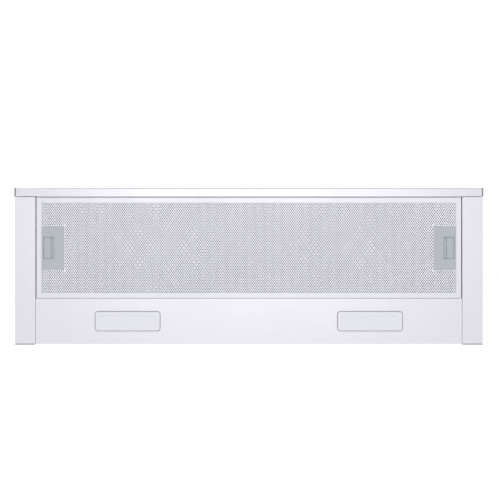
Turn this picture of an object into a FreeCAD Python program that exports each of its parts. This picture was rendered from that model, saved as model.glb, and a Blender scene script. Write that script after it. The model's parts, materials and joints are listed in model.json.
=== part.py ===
"""A 90 cm slim under cabinet range hood with a pull-out front.

The fixed body is a shallow sheet-steel tray that screws to the underside of a wall cabinet, with a
blower box that stands up inside the cabinet and ends in a round duct collar. Between the tray's two
side strips a drawer slides forward on ball runners. It carries the fascia with its push buttons, and
the long aluminium grease filter, which two spring latches hold in from below. Behind the filter a
fixed panel holds two lamps.

Frame: +X to the right, +Y to the wall, +Z up, in millimetres. The origin is the centre of the four
cabinet screw holes, on the face that meets the cabinet. The drawer pulls out along -Y.
"""
import FreeCAD, Part
import math
import os
import re
import Sketcher
from FreeCAD import Placement, Rotation, Vector

# Driving dimensions, in millimetres (angles in degrees, counts as plain numbers).
SIZES = {
    # the whole hood
    "overall_width": 898, "overall_depth": 300, "tray_height": 44, "cap_overhang": 1,
    "steel": 1.2, "drawer_travel": 160,
    # strips and gaps on the underside
    "side_strip": 39, "side_gap": 2, "front_gap": 2.4, "rear_gap": 0.6, "body_gap": 1,
    "seat_gap": 0.3, "fit_gap": 0.1, "flange": 12, "hem": 4, "strip_upstand": 20,
    # fascia and its end caps
    "fascia_depth": 16, "fascia_below": 2, "fascia_head": 2, "fascia_wall": 1.6, "fascia_lip": 14,
    "fascia_round": 2.5, "cap_plate": 3, "cap_plug": 8, "cap_wall": 2,
    # drawer
    "drawer_head": 5, "rear_bar": 8, "arm_clear": 9.5, "trip_reach": 9.8, "trip_height": 12,
    # runners
    "rail_space": 10, "rail_top": 7, "rail_height": 18, "rail_gauge": 1.2, "rail_inset": 8,
    "rail_clear": 2.5, "outer_reach": 8, "inner_reach": 7, "ball_size": 4, "ball_gap": 0.1,
    "ball_pitch": 16, "ball_inset": 15, "ball_count": 6, "ball_offset": 4.5,
    "cage_length": 110, "cage_gauge": 0.6, "cage_strip": 5,
    # filter cassette
    "filter_depth": 192.5, "filter_border": 10, "filter_height": 9, "filter_wall": 0.8,
    "mesh_gauge": 0.8, "core_gauge": 0.5, "core_pitch": 2, "core_count": 3,
    # filter latches
    "plate_width": 43, "plate_length": 84, "plate_proud": 0.4, "plate_round": 4,
    "pocket_inset": 3.2, "pocket_width": 21, "pocket_length": 42, "plate_roof": 1.4,
    "slider_width": 14, "slider_sink": 1.8, "slider_gap": 0.2, "latch_travel": 6,
    "neck_width": 10, "neck_length": 14, "bolt_length": 20, "bolt_gauge": 3, "bolt_lift": 4,
    "bolt_reach": 3, "guide_wall": 1.6, "spring_length": 13.5, "spring_round": 1.3,
    "spring_wire": 0.4, "spring_turns": 8,
    # lamps
    "lamp_pitch": 464.4, "lens_width": 124, "lens_depth": 37, "lens_round": 5.5, "lens_gap": 0.5,
    "lens_proud": 0.8, "lens_gauge": 3, "lens_rim_x": 7.5, "lens_rim_y": 7.8, "lens_dish": 0.8,
    "lens_skirt": 7, "lens_wall": 1.2, "lens_inset": 2.2, "lamp_height": 22, "lamp_wall": 1.4,
    "lamp_flange": 6, "lamp_room": 0.8, "board_width": 100, "board_depth": 18, "board_gauge": 1.6,
    "led_size": 5, "led_height": 1, "led_count": 6, "led_pitch": 16, "panel_flange": 10,
    "panel_hem": 12.8, "strip_seam": 0.6, "upstand_inset": 12,
    # blower box and the inner filter in its inlet
    "box_width": 520, "box_depth": 274, "box_height": 136, "box_rear_gap": 1, "box_lip": 9,
    "box_foot": 10, "inlet_inset": 31.3, "inlet_seat": 7, "inlet_width": 496, "inner_gap": 1,
    "inner_height": 8, "inner_border": 9, "inner_mesh": 2, "inner_groove": 4, "tongue_width": 30,
    "tongue_reach": 5, "tongue_pitch": 300,
    # blower scroll
    "wheel_offset": 11.3, "wheel_z": 72, "spout_reach": 61, "scroll_round": 50, "scroll_step": 3.5,
    "scroll_wall": 2, "scroll_half": 60, "tongue_angle": 135, "eye_round": 39, "eye_wall": 1.5,
    "eye_lip": 4,
    # fan wheel and motor
    "wheel_round": 46, "wheel_half": 55, "wheel_ring": 3, "blade_root": 38, "blade_tip": 45,
    "blade_sweep": 8, "blade_gauge": 1.2, "blade_count": 36, "disc_gauge": 3, "hub_round": 10,
    "hub_length": 9, "shaft_round": 4, "shaft_fit": 0.05, "shaft_left": 16, "shaft_right": 42,
    "motor_round": 30, "motor_left": 9, "motor_right": 56, "neck_round": 10, "arm_count": 3,
    "arm_width": 12, "arm_length": 50, "bracket_gauge": 3, "bracket_hub": 16, "nut_height": 5,
    "nut_round": 7.5,
    # collar and back-draught flaps
    "collar_round": 59.5, "collar_wall": 1.8, "collar_height": 40, "collar_flange": 70,
    "flange_gauge": 2, "stop_height": 5, "stop_reach": 3.7, "stop_gauge": 1.5, "web_gauge": 2,
    "web_foot": 4, "web_height": 9, "pin_offset": 3.4, "pin_height": 8.7, "pin_round": 1.2,
    "pin_fit": 0.05, "pin_seat": 1, "knuckle_round": 2.2, "knuckle_half": 48, "flap_gauge": 1,
    "flap_gap": 0.8,
    # electrics
    "terminal_inset_x": 26, "terminal_width": 84, "terminal_inset_y": 29.7, "terminal_depth": 56,
    "terminal_height": 28, "terminal_wall": 2, "gland_bore": 4.2, "gland_round": 9,
    "gland_neck": 6.5, "gland_out": 12, "gland_in": 8, "gland_nut": 4, "block_width": 34,
    "block_depth": 18, "block_height": 15, "block_inset": 10, "can_round": 14, "can_length": 55,
    "can_inset": 110, "can_offset": 22, "stud_round": 4, "stud_height": 8, "switch_width": 22,
    "switch_depth": 6.4, "switch_inset": 27.8, "switch_height": 12, "switch_mid": 18,
    "plunger_x": 15, "plunger_round": 1, "lever_gap": 0.3, "lever_gauge": 0.6, "lever_pin": 0.8,
    "lever_eye": 1.6, "lever_height": 5, "lever_step": 3, "lever_set": 1.9, "ear_height": 2.4,
    # push buttons
    "button_inset": 119, "button_pitch": 21, "button_width": 15, "button_height": 8,
    "button_depth": 5.8, "button_gap": 0.3, "button_travel": 2.5, "bezel_width": 112,
    "bezel_height": 14, "bezel_sink": 0.2, "bezel_flange": 3.5, "bezel_gauge": 1.4,
    "module_depth": 5.2, "module_height": 16, "module_inset": 1, "module_post": 4,
    # screws
    "mount_inset_x": 58, "mount_inset_y": 60, "mount_hole": 2.75, "screw_round": 1.7,
    "screw_fit": 0.1, "screw_head": 3.2, "screw_head_gauge": 1.8, "screw_length": 7,
    "collar_screw_ring": 64.8, "fascia_screw_inset": 67.8, "fascia_screw_count": 4,
    "fascia_screw_drop": 11, "box_screw_inset": 14, "roof_screw_pitch": 180,
}

DOC = FreeCAD.newDocument("range_hood")
SHEET = DOC.addObject("Spreadsheet::Sheet", "Sizes")
for row, (alias, size) in enumerate(SIZES.items(), start=1):
    SHEET.set(f"A{row}", alias)
    SHEET.set(f"B{row}", str(size))
    SHEET.setAlias(f"B{row}", alias)
DOC.recompute()

WORDS = re.compile(r"\b(" + "|".join(sorted(SIZES, key=len, reverse=True)) + r")\b")
NODES = {}
SIDES = {"left": -1, "right": 1}

# Planes and edges that several pieces share, as formulas of the sheet.
FRONT = "(-overall_depth / 2)"
FASCIA_BACK = f"({FRONT} + fascia_depth)"
FASCIA_FOOT = "(-tray_height - fascia_below)"
FASCIA_MID = f"(({FASCIA_FOOT} - fascia_head) / 2)"
BODY_FRONT = f"({FASCIA_BACK} + body_gap)"
STRIP_REAR = "(overall_depth / 2)"
TRAY_REAR = f"({STRIP_REAR} - steel - fit_gap)"
TRAY_BACK = f"({TRAY_REAR} - steel)"
HALF_BODY = "(overall_width / 2 - cap_overhang)"
STRIP_INNER = f"({HALF_BODY} - side_strip)"
FLOOR = "(-tray_height)"
SKIN = f"({FLOOR} + steel)"
FILTER_HALF = f"({STRIP_INNER} - side_gap)"
FILTER_FRONT = f"({FASCIA_BACK} + front_gap)"
FILTER_REAR = f"({FILTER_FRONT} + filter_depth)"
FILTER_MID = f"({FILTER_FRONT} + filter_depth / 2)"
FILTER_TOP = f"({FLOOR} + filter_height)"
PANEL_FRONT = f"({FILTER_REAR} + rear_gap)"
LAMP_MID = f"(({PANEL_FRONT} + {TRAY_REAR}) / 2)"
ARM_OUT = f"({STRIP_INNER} - rail_space)"
ARM_IN = f"({ARM_OUT} - steel)"
ARM_FOOT = f"({FILTER_TOP} + seat_gap)"
ARM_HEAD = "(-drawer_head - steel)"
ARM_REAR = f"({TRAY_BACK} - arm_clear)"
RAIL_FRONT = f"({BODY_FRONT} + rail_inset)"
RAIL_REAR = f"({TRAY_BACK} - rail_clear)"
CAGE_FRONT = f"(({RAIL_FRONT} + {RAIL_REAR} - cage_length) / 2)"
RAIL_MID = "(-rail_top - rail_height / 2)"
INNER_RAIL_HALF = "(rail_height / 2 - rail_gauge - ball_size - ball_gap)"
BALL_LIFT = f"({INNER_RAIL_HALF} + (ball_size + ball_gap) / 2)"
BOX_REAR = f"({TRAY_REAR} - box_rear_gap)"
BOX_FRONT = f"({BOX_REAR} - box_depth)"
BOX_HALF = "(box_width / 2)"
BOX_ROOF = "(box_height - steel)"
BOX_MID = f"(({BOX_FRONT} + {BOX_REAR}) / 2)"
INLET_FRONT = f"({BOX_FRONT} + inlet_inset)"
INLET_REAR = f"({PANEL_FRONT} - inlet_seat)"
WHEEL_Y = f"({BOX_MID} + wheel_offset)"
SPOUT_FRONT = f"({WHEEL_Y} - spout_reach)"
SPOUT_REAR = f"({WHEEL_Y} + scroll_round + 3 * scroll_step)"
DUCT_Y = f"(({SPOUT_FRONT} + {SPOUT_REAR}) / 2)"
PLATE_OUT = f"({FILTER_HALF} - filter_border - fit_gap)"
POCKET_OUT = f"({PLATE_OUT} - pocket_inset)"
POCKET_IN = f"({POCKET_OUT} - pocket_width)"
POCKET_TOP = f"({FILTER_TOP} - plate_roof)"
SLIDER_OUT = f"({POCKET_OUT} - slider_gap)"
SLIDER_IN = f"({SLIDER_OUT} - slider_width)"
BOLT_FOOT = f"({FILTER_TOP} + bolt_lift)"
BOLT_HEAD = f"({BOLT_FOOT} + bolt_gauge)"
SPRING_END = f"({SLIDER_IN} - spring_length)"
GUIDE_HEAD = f"({BOLT_HEAD} + slider_gap + guide_wall)"
CEILING = f"({SKIN} + lamp_height - lamp_wall)"
SCROLL_OUT = "(scroll_half + scroll_wall)"
SWITCH_Z = "(-switch_mid)"
SWITCH_LEFT = f"({ARM_IN} - switch_inset)"
BUTTON_MID = "(overall_width / 2 - button_inset)"
CAN_PLACE = (f"({BOX_HALF} - can_inset)", f"({WHEEL_Y} - can_offset)")


def formula(text):
    """The formula with each size's name written as a cell of the sheet."""
    return WORDS.sub(lambda word: "Sizes." + word.group(0), str(text))


def number(text):
    """What the formula comes to now."""
    return float(SHEET.evalExpression(formula(text)))


def bind(item, prop, text):
    """Binds one property of item to a formula of the sheet."""
    item.setExpression(prop, formula(text))
    return item


def keep(item, label):
    """Registers item as the sub-part that is written to parts/label.step."""
    item.Label = label
    NODES[label] = item
    return item


def rect(u, v):
    """The four corners of a rectangle between (low, high) formulas."""
    return [(u[0], v[0]), (u[1], v[0]), (u[1], v[1]), (u[0], v[1])]


def both(half):
    """A (low, high) pair that is the same distance either side of zero."""
    return f"-({half})", half


def around(middle, half):
    """A (low, high) pair that is the same distance either side of the middle."""
    return f"{middle} - ({half})", f"{middle} + ({half})"


# ---- Part primitives and booleans ----

TURNS = {"x": Rotation(Vector(0, 1, 0), 90), "y": Rotation(Vector(1, 0, 0), -90), "z": Rotation()}


def block(x, y, z):
    """A box between the (low, high) formulas of each axis."""
    item = DOC.addObject("Part::Box", "Block")
    for side, axis, (low, high) in (("Length", "x", x), ("Width", "y", y), ("Height", "z", z)):
        bind(item, side, f"({high}) - ({low})")
        bind(item, f".Placement.Base.{axis}", low)
    return item


def rod(axis, centre, radius, low, high):
    """A cylinder along axis from low to high, round a centre given by its two other coordinates."""
    item = DOC.addObject("Part::Cylinder", "Rod")
    item.Placement = Placement(Vector(), TURNS[axis])
    bind(item, "Radius", radius)
    bind(item, "Height", f"({high}) - ({low})")
    places = dict(zip([name for name in "xyz" if name != axis], centre))
    places[axis] = low
    for name, place in places.items():
        bind(item, f".Placement.Base.{name}", place)
    return item


def ball(x, y, z, radius):
    """A sphere round a point."""
    item = DOC.addObject("Part::Sphere", "Ball")
    bind(item, "Radius", radius)
    for name, place in zip("xyz", (x, y, z)):
        bind(item, f".Placement.Base.{name}", place)
    return item


def fuse(*items):
    """The items joined into one."""
    joined = DOC.addObject("Part::MultiFuse", "Fuse")
    joined.Shapes = list(items)
    joined.Refine = True
    return joined


def cut(base, *tools):
    """The base with the tools taken away, which must take something."""
    item = DOC.addObject("Part::Cut", "Cut")
    item.Base = base
    item.Tool = tools[0] if len(tools) == 1 else fuse(*tools)
    item.Refine = True
    DOC.recompute()
    if item.Shape.Volume > base.Shape.Volume - 1e-3:
        raise ValueError(f"a cut from {base.Label} takes nothing away")
    return item


def group(*items):
    """Separate solids that share one node."""
    item = DOC.addObject("Part::Compound", "Group")
    item.Links = list(items)
    return item


def mirrored(item, label):
    """The left-hand copy of a right-hand sub-part."""
    copy = DOC.addObject("Part::Mirroring", "Mirror")
    copy.Source = item
    copy.Normal = Vector(1, 0, 0)
    return keep(copy, label)


# ---- PartDesign bodies ----

# plane: the role of its origin feature, and the sign of its normal along the axis it faces
PLANES = {"XY": ("XY_Plane", 1), "XZ": ("XZ_Plane", -1), "YZ": ("YZ_Plane", 1)}
AXES = {"x": Vector(1, 0, 0), "y": Vector(0, 1, 0), "z": Vector(0, 0, 1)}


def body(label):
    """An empty body, registered as a sub-part."""
    return keep(DOC.addObject("PartDesign::Body", "Body"), label)


def origin_feature(part, role):
    """One of the body's own origin planes or axes."""
    return next(feature for feature in part.Origin.OriginFeatures if feature.Role == role)


def pin_point(item, shape, point, u, v):
    """Places one point of a sketch by two bound distances from the sketch's origin."""
    for kind, place in (("DistanceX", u), ("DistanceY", v)):
        rule = Sketcher.Constraint(kind, -1, 1, shape, point, number(place))
        bind(item, f"Constraints[{item.addConstraint(rule)}]", place)


def draw_circle(item, u, v, radius):
    """Draws one circle in the sketch, fully constrained."""
    centre = Vector(number(u), number(v), 0)
    shape = item.addGeometry(Part.Circle(centre, Vector(0, 0, 1), number(radius)))
    pin_point(item, shape, 3, u, v)
    rule = Sketcher.Constraint("Radius", shape, number(radius))
    bind(item, f"Constraints[{item.addConstraint(rule)}]", radius)


def draw_polygon(item, corners):
    """Draws one closed polygon in the sketch, fully constrained."""
    points = [Vector(number(u), number(v), 0) for u, v in corners]
    lines = []
    for start, end in zip(points, points[1:] + points[:1]):
        lines.append(item.addGeometry(Part.LineSegment(start, end)))
    for line, after in zip(lines, lines[1:] + lines[:1]):
        item.addConstraint(Sketcher.Constraint("Coincident", line, 2, after, 1))
    for line, (u, v) in zip(lines, corners):
        pin_point(item, line, 1, u, v)


def sketch(part, plane, offset, outlines):
    """A sketch at offset along the plane's axis. An outline is a list of (u, v) corners or one
    (u, v, radius) circle, all as formulas."""
    role, sign = PLANES[plane]
    item = part.newObject("Sketcher::SketchObject", "Sketch")
    item.AttachmentSupport = [(origin_feature(part, role), "")]
    item.MapMode = "FlatFace"
    bind(item, "AttachmentOffset.Base.z", f"{sign} * ({offset})")
    for outline in outlines:
        if isinstance(outline, tuple):
            draw_circle(item, *outline)
        else:
            draw_polygon(item, outline)
    return item


def pad(part, plane, low, high, *outlines):
    """Adds material between low and high along the plane's axis."""
    profile = sketch(part, plane, low, outlines)
    item = part.newObject("PartDesign::Pad", "Pad")
    item.Profile = profile
    item.Reversed = PLANES[plane][1] < 0
    bind(item, "Length", f"({high}) - ({low})")
    part.Tip = item
    return item


def pocket(part, plane, low, high, *outlines):
    """Takes material away between low and high, which must take something."""
    DOC.recompute()
    before = part.Shape.Volume
    profile = sketch(part, plane, low, outlines)
    item = part.newObject("PartDesign::Pocket", "Pocket")
    item.Profile = profile
    item.Reversed = PLANES[plane][1] > 0
    bind(item, "Length", f"({high}) - ({low})")
    part.Tip = item
    DOC.recompute()
    if part.Shape.Volume > before - 1e-3:
        raise ValueError(f"a pocket in {part.Label} takes nothing away")
    return item


def soften(part, radius, axis, chosen):
    """Rounds the straight edges along axis whose middle point satisfies chosen(point)."""
    DOC.recompute()
    tip, names = part.Tip, []
    for count, edge in enumerate(tip.Shape.Edges, start=1):
        if not isinstance(edge.Curve, Part.Line):
            continue
        if abs(abs(edge.Curve.Direction.dot(AXES[axis])) - 1) > 1e-6:
            continue
        if chosen(edge.CenterOfMass):
            names.append(f"Edge{count}")
    if not names:
        raise ValueError(f"no edge to round on {part.Label}")
    item = part.newObject("PartDesign::Fillet", "Fillet")
    item.Base = (tip, names)
    bind(item, "Radius", radius)
    part.Tip = item
    return item


def screw(axis, centre, face, inward):
    """A pan-head screw: its head sits on face and its shank runs inward (1 or -1) along axis."""
    tip = f"{face} + ({inward}) * screw_length"
    crown = f"{face} - ({inward}) * screw_head_gauge"
    shank = (face, tip) if inward > 0 else (tip, face)
    head = (crown, face) if inward > 0 else (face, crown)
    return fuse(rod(axis, centre, "screw_round", *shank), rod(axis, centre, "screw_head", *head))


def hole_circles(places):
    """Clearance holes for screws at the given places, as outlines of a sketch."""
    return [(u, v, "screw_round + screw_fit") for u, v in places]


# ---- the fixed body: tray, strips, rear panel, lamps ----

def box_screw_places():
    """Where the blower box is screwed down through its foot."""
    x = f"({BOX_HALF} - (box_foot + steel) / 2)"
    rows = (f"({BOX_FRONT} + box_screw_inset)", f"({BOX_REAR} - box_screw_inset)")
    return [(f"{side} * {x}", y) for side in SIDES.values() for y in rows]


def collar_screw_places():
    """Four places round the collar's flange, on its diagonals."""
    reach = "(collar_screw_ring * cos(45))"
    return [(f"{i} * {reach}", f"{DUCT_Y} + {j} * {reach}") for i in (-1, 1) for j in (-1, 1)]


def roof_screw_places():
    """Two places on each side of the box where its roof's lip is screwed to the wrapper."""
    return [(f"{BOX_MID} + {i} * roof_screw_pitch / 2", f"{BOX_ROOF} - box_lip / 2") for i in (-1, 1)]


def make_tray():
    """The tray: roof, two outer walls and rear wall of one folded sheet, open below and in front."""
    tray = body("tray_shell")
    pad(tray, "XY", SKIN, "0", rect(both(HALF_BODY), (BODY_FRONT, TRAY_REAR)))
    pocket(tray, "XY", SKIN, "-steel", rect(both(f"{HALF_BODY} - steel"), (BODY_FRONT, TRAY_BACK)))
    hem = rect(both(f"{STRIP_INNER} - seat_gap"), (BODY_FRONT, f"{BODY_FRONT} + steel"))
    pad(tray, "XY", "-hem", "-steel", hem)
    inlet = rect(both("inlet_width / 2"), (INLET_FRONT, INLET_REAR))
    mounts = [(f"{i} * ({HALF_BODY} - mount_inset_x)", f"{j} * ({STRIP_REAR} - mount_inset_y)",
               "mount_hole") for i in (-1, 1) for j in (-1, 1)]
    pocket(tray, "XY", "-steel", "0", inlet, *mounts, *hole_circles(box_screw_places()))


def make_side_covers():
    """The strips on the underside that hide the runners: folded channels with a rear upstand."""
    cover = body("side_cover_right")
    inner, wall = STRIP_INNER, f"{STRIP_INNER} + steel"
    channel = [
        (inner, FLOOR), (HALF_BODY, FLOOR), (HALF_BODY, SKIN), (wall, SKIN), (wall, "-2 * steel"),
        (f"{wall} + flange", "-2 * steel"), (f"{wall} + flange", "-steel"), (inner, "-steel"),
    ]
    seat = f"({TRAY_BACK} - seat_gap)"
    pad(cover, "XZ", BODY_FRONT, seat, channel)
    pad(cover, "XZ", seat, STRIP_REAR, rect((inner, HALF_BODY), (FLOOR, SKIN)))
    upstand = rect((inner, HALF_BODY), (SKIN, f"{SKIN} + strip_upstand"))
    pad(cover, "XZ", f"{STRIP_REAR} - steel", STRIP_REAR, upstand)
    mirrored(cover, "side_cover_left")


def make_lamp_panel():
    """The fixed rear panel with the two lamp windows, an upstand behind the filter and a hem."""
    panel = body("lamp_panel")
    pad(panel, "XY", FLOOR, SKIN, rect(both(f"{STRIP_INNER} - strip_seam"), (PANEL_FRONT, TRAY_REAR)))
    windows = []
    for side in SIDES.values():
        windows.append(rect(around(f"{side} * lamp_pitch / 2", "lens_width / 2 + lens_gap"),
                            around(LAMP_MID, "lens_depth / 2 + lens_gap")))
    pocket(panel, "XY", FLOOR, SKIN, *windows)
    middle, reach = number(LAMP_MID), number("lens_depth / 2 + lens_gap")
    soften(panel, "lens_round + lens_gap", "z", lambda point: abs(abs(point.y - middle) - reach) < 1e-6)
    half = f"{ARM_IN} - upstand_inset"
    upstand = f"{PANEL_FRONT} + steel"
    pad(panel, "XY", SKIN, "-2 * steel", rect(both(half), (PANEL_FRONT, upstand)))
    pad(panel, "XY", "-2 * steel", "-steel", rect(both(half), (PANEL_FRONT, f"{upstand} + panel_flange")))
    rear = rect(both(f"{STRIP_INNER} - flange"), (f"{TRAY_BACK} - steel", TRAY_BACK))
    pad(panel, "XY", SKIN, f"{SKIN} + panel_hem", rear)


def make_lamp(hand, side):
    """One lamp: the translucent cover and the housing above the panel."""
    middle = f"({side} * lamp_pitch / 2)"

    def outline(grow):
        """The lamp's rectangle, larger all round by grow."""
        return rect(around(middle, f"lens_width / 2 + {grow}"),
                    around(LAMP_MID, f"lens_depth / 2 + {grow}"))

    cover = body(f"lamp_cover_{hand}")
    face = f"({FLOOR} - lens_proud)"
    back = f"({face} + lens_gauge)"
    pad(cover, "XY", face, back, outline("0"))
    soften(cover, "lens_round", "z", lambda point: True)
    dish = rect(around(middle, "lens_width / 2 - lens_rim_x"),
                around(LAMP_MID, "lens_depth / 2 - lens_rim_y"))
    pocket(cover, "XY", face, f"{face} + lens_dish", dish)
    pad(cover, "XY", back, f"{back} + lens_skirt", outline("-lens_inset"),
        outline("-lens_inset - lens_wall"))

    housing = body(f"lamp_housing_{hand}")
    pad(housing, "XY", SKIN, f"{CEILING} + lamp_wall", outline("lamp_room + lamp_wall"))
    pad(housing, "XY", SKIN, f"{SKIN} + lamp_wall", outline("lamp_room + lamp_wall + lamp_flange"))
    pocket(housing, "XY", SKIN, CEILING, outline("lamp_room"))


def make_led_boards():
    """A board of LEDs on each lamp's ceiling."""
    boards = []
    for side in SIDES.values():
        middle = f"({side} * lamp_pitch / 2)"
        under = f"({CEILING} - board_gauge)"
        pieces = [block(around(middle, "board_width / 2"), around(LAMP_MID, "board_depth / 2"),
                        (under, CEILING))]
        for count in range(int(SIZES["led_count"])):
            place = f"({middle} + ({count} - (led_count - 1) / 2) * led_pitch)"
            pieces.append(block(around(place, "led_size / 2"), around(LAMP_MID, "led_size / 2"),
                                (f"{under} - led_height", under)))
        boards.append(fuse(*pieces))
    keep(group(*boards), "led_boards")


# ---- blower box, scroll, fan and motor ----

def make_box():
    """The blower box: a four-walled wrapper with an inward foot, and a lipped roof."""
    def outline(shrink):
        """The box's rectangle, smaller all round by shrink."""
        return rect(both(f"{BOX_HALF} - ({shrink})"), around(BOX_MID, f"box_depth / 2 - ({shrink})"))

    wrapper = body("blower_box")
    pad(wrapper, "XY", "0", BOX_ROOF, outline("0"), outline("steel"))
    pad(wrapper, "XY", "0", "steel", outline("0"), outline("box_foot"))
    pocket(wrapper, "XY", "0", "steel", *hole_circles(box_screw_places()))
    pocket(wrapper, "YZ", both(BOX_HALF)[0], BOX_HALF, *hole_circles(roof_screw_places()))

    roof = body("box_roof")
    pad(roof, "XY", BOX_ROOF, "box_height", outline("0"))
    lip = "steel + fit_gap"
    pad(roof, "XY", f"{BOX_ROOF} - box_lip", BOX_ROOF, outline(lip), outline(f"{lip} + steel"))
    pocket(roof, "XY", BOX_ROOF, "box_height", ("0", DUCT_Y, "collar_round - collar_wall"),
           (*CAN_PLACE, "stud_round + fit_gap"), *hole_circles(collar_screw_places()))
    pocket(roof, "YZ", both(BOX_HALF)[0], BOX_HALF, *hole_circles(roof_screw_places()))


def make_body_screws():
    """The screws of the box's foot, the box's roof and the collar's flange."""
    screws = [screw("z", place, "-steel", 1) for place in box_screw_places()]
    screws += [screw("z", place, "box_height + flange_gauge", -1) for place in collar_screw_places()]
    for side in SIDES.values():
        screws += [screw("x", place, f"{side} * {BOX_HALF}", -side) for place in roof_screw_places()]
    keep(group(*screws), "body_screws")


def make_inner_filter():
    """The fixed filter in the inlet: a grooved frame that hangs by tongues, and its mesh."""
    middle = f"(({INLET_FRONT} + {INLET_REAR}) / 2)"

    def outline(shrink):
        """The inlet's rectangle, smaller all round by shrink."""
        return rect(both(f"inlet_width / 2 - ({shrink})"),
                    around(middle, f"({INLET_REAR} - {INLET_FRONT}) / 2 - ({shrink})"))

    frame = body("inner_filter_frame")
    inside = "inner_gap + inner_border"
    groove = f"{inside} - inner_groove"
    pad(frame, "XY", "-inner_height / 2", "inner_height / 2", outline("inner_gap"), outline(inside))
    pocket(frame, "XY", "-inner_mesh / 2 - fit_gap", "inner_mesh / 2 + fit_gap", outline(groove))
    for i in (-1, 1):
        across = around(f"{i} * tongue_pitch / 2", "tongue_width / 2")
        rear = (f"{INLET_REAR} - inner_gap", f"{INLET_REAR} + tongue_reach")
        front = (f"{INLET_FRONT} - tongue_reach", f"{INLET_FRONT} + inner_gap")
        pad(frame, "XY", "0", "steel", rect(across, rear))
        pad(frame, "XY", "0", "steel", rect(across, front))

    mesh = body("inner_filter_mesh")
    pad(mesh, "XY", "-inner_mesh / 2", "inner_mesh / 2", outline(f"{groove} + fit_gap"))


def scroll_face():
    """The scroll's inner outline in the YZ plane: three arcs that widen round the wheel, and the
    spout up to the box's roof."""
    y, z = number(WHEEL_Y), number("wheel_z")
    start, step = number("scroll_round"), number("scroll_step")
    front, rear, top = number(SPOUT_FRONT), number(SPOUT_REAR), number(BOX_ROOF)
    angle = math.radians(number("tongue_angle"))

    def point(centre_y, centre_z, radius, turn):
        """The point of a circle at an angle from +Y towards +Z."""
        return Vector(0, centre_y + radius * math.cos(turn), centre_z + radius * math.sin(turn))

    def arc(centre_y, centre_z, radius, first, last):
        """The arc between two angles."""
        turns = (first, (first + last) / 2, last)
        return Part.Arc(*[point(centre_y, centre_z, radius, turn) for turn in turns]).toShape()

    second = start + step
    third = second + step
    arcs = [arc(y, z, start, angle, math.pi), arc(y + step, z, second, math.pi, 1.5 * math.pi),
            arc(y + step, z + step, third, 1.5 * math.pi, 2 * math.pi)]
    corners = [Vector(0, rear, z + step), Vector(0, rear, top), Vector(0, front, top),
               point(y, z, start, angle)]
    edges = [Part.LineSegment(a, b).toShape() for a, b in zip(corners, corners[1:])]
    return Part.Face(Part.Wire(Part.__sortEdges__(arcs + edges)))


def make_scroll():
    """The blower's scroll in two moulded halves, each with its end wall and inlet eye."""
    half, wall = number("scroll_half"), number("scroll_wall")
    eye, lip, eye_wall = number("eye_round"), number("eye_lip"), number("eye_wall")
    inner = scroll_face()
    outer = inner.makeOffset2D(wall, 2)
    room = Part.makeBox(4 * half, 1000, 1000, Vector(0, -500, number(BOX_ROOF) - 1000))
    out = Vector(1, 0, 0)
    shell = outer.extrude(out * (half + wall)).cut(inner.extrude(out * half)).common(room)
    centre = Vector(half - lip, number(WHEEL_Y), number("wheel_z"))
    rim = Part.makeCylinder(eye + eye_wall, lip, centre, out)
    opening = Part.makeCylinder(eye, lip + wall, centre, out)
    scroll = DOC.addObject("Part::Feature", "Scroll")
    scroll.Shape = shell.fuse(rim).cut(opening).removeSplitter()
    keep(scroll, "scroll_right")
    mirrored(scroll, "scroll_left")


def place_on_axle(item):
    """Puts a sub-part that is drawn round its own X axis on the fan's axis."""
    bind(item, ".Placement.Base.y", WHEEL_Y)
    bind(item, ".Placement.Base.z", "wheel_z")
    return item


def make_fan_wheel():
    """The double-inlet wheel: a middle disc with a hub, forward-swept blades and two end rings."""
    wheel = place_on_axle(body("fan_wheel"))
    disc, axle = "disc_gauge / 2", ("0", "0", "shaft_round")
    pad(wheel, "YZ", f"-({disc})", disc, ("0", "0", "wheel_round"), axle)
    pad(wheel, "YZ", f"-({disc}) - hub_length", f"-({disc})", ("0", "0", "hub_round"), axle)
    ring = [("0", "0", "wheel_round"), ("0", "0", "blade_root")]
    pad(wheel, "YZ", "wheel_half - wheel_ring", "wheel_half", *ring)
    pad(wheel, "YZ", "-wheel_half", "-wheel_half + wheel_ring", *ring)

    def corner(radius, angle, shift):
        """A blade corner at a radius and an angle, moved across the blade by shift."""
        return (f"{radius} * cos({angle}) - {shift} * sin({angle})",
                f"{radius} * sin({angle}) + {shift} * cos({angle})")

    blade = [corner("blade_root", "0", "-blade_gauge / 2"),
             corner("blade_tip", "blade_sweep", "-blade_gauge / 2"),
             corner("blade_tip", "blade_sweep", "blade_gauge / 2"),
             corner("blade_root", "0", "blade_gauge / 2")]
    first = pad(wheel, "YZ", "-wheel_half", "wheel_half", blade)
    pattern = wheel.newObject("PartDesign::PolarPattern", "Blades")
    pattern.Originals = [first]
    pattern.Axis = (origin_feature(wheel, "X_Axis"), [""])
    pattern.Angle = 360
    bind(pattern, "Occurrences", "blade_count")
    wheel.Tip = pattern


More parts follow.
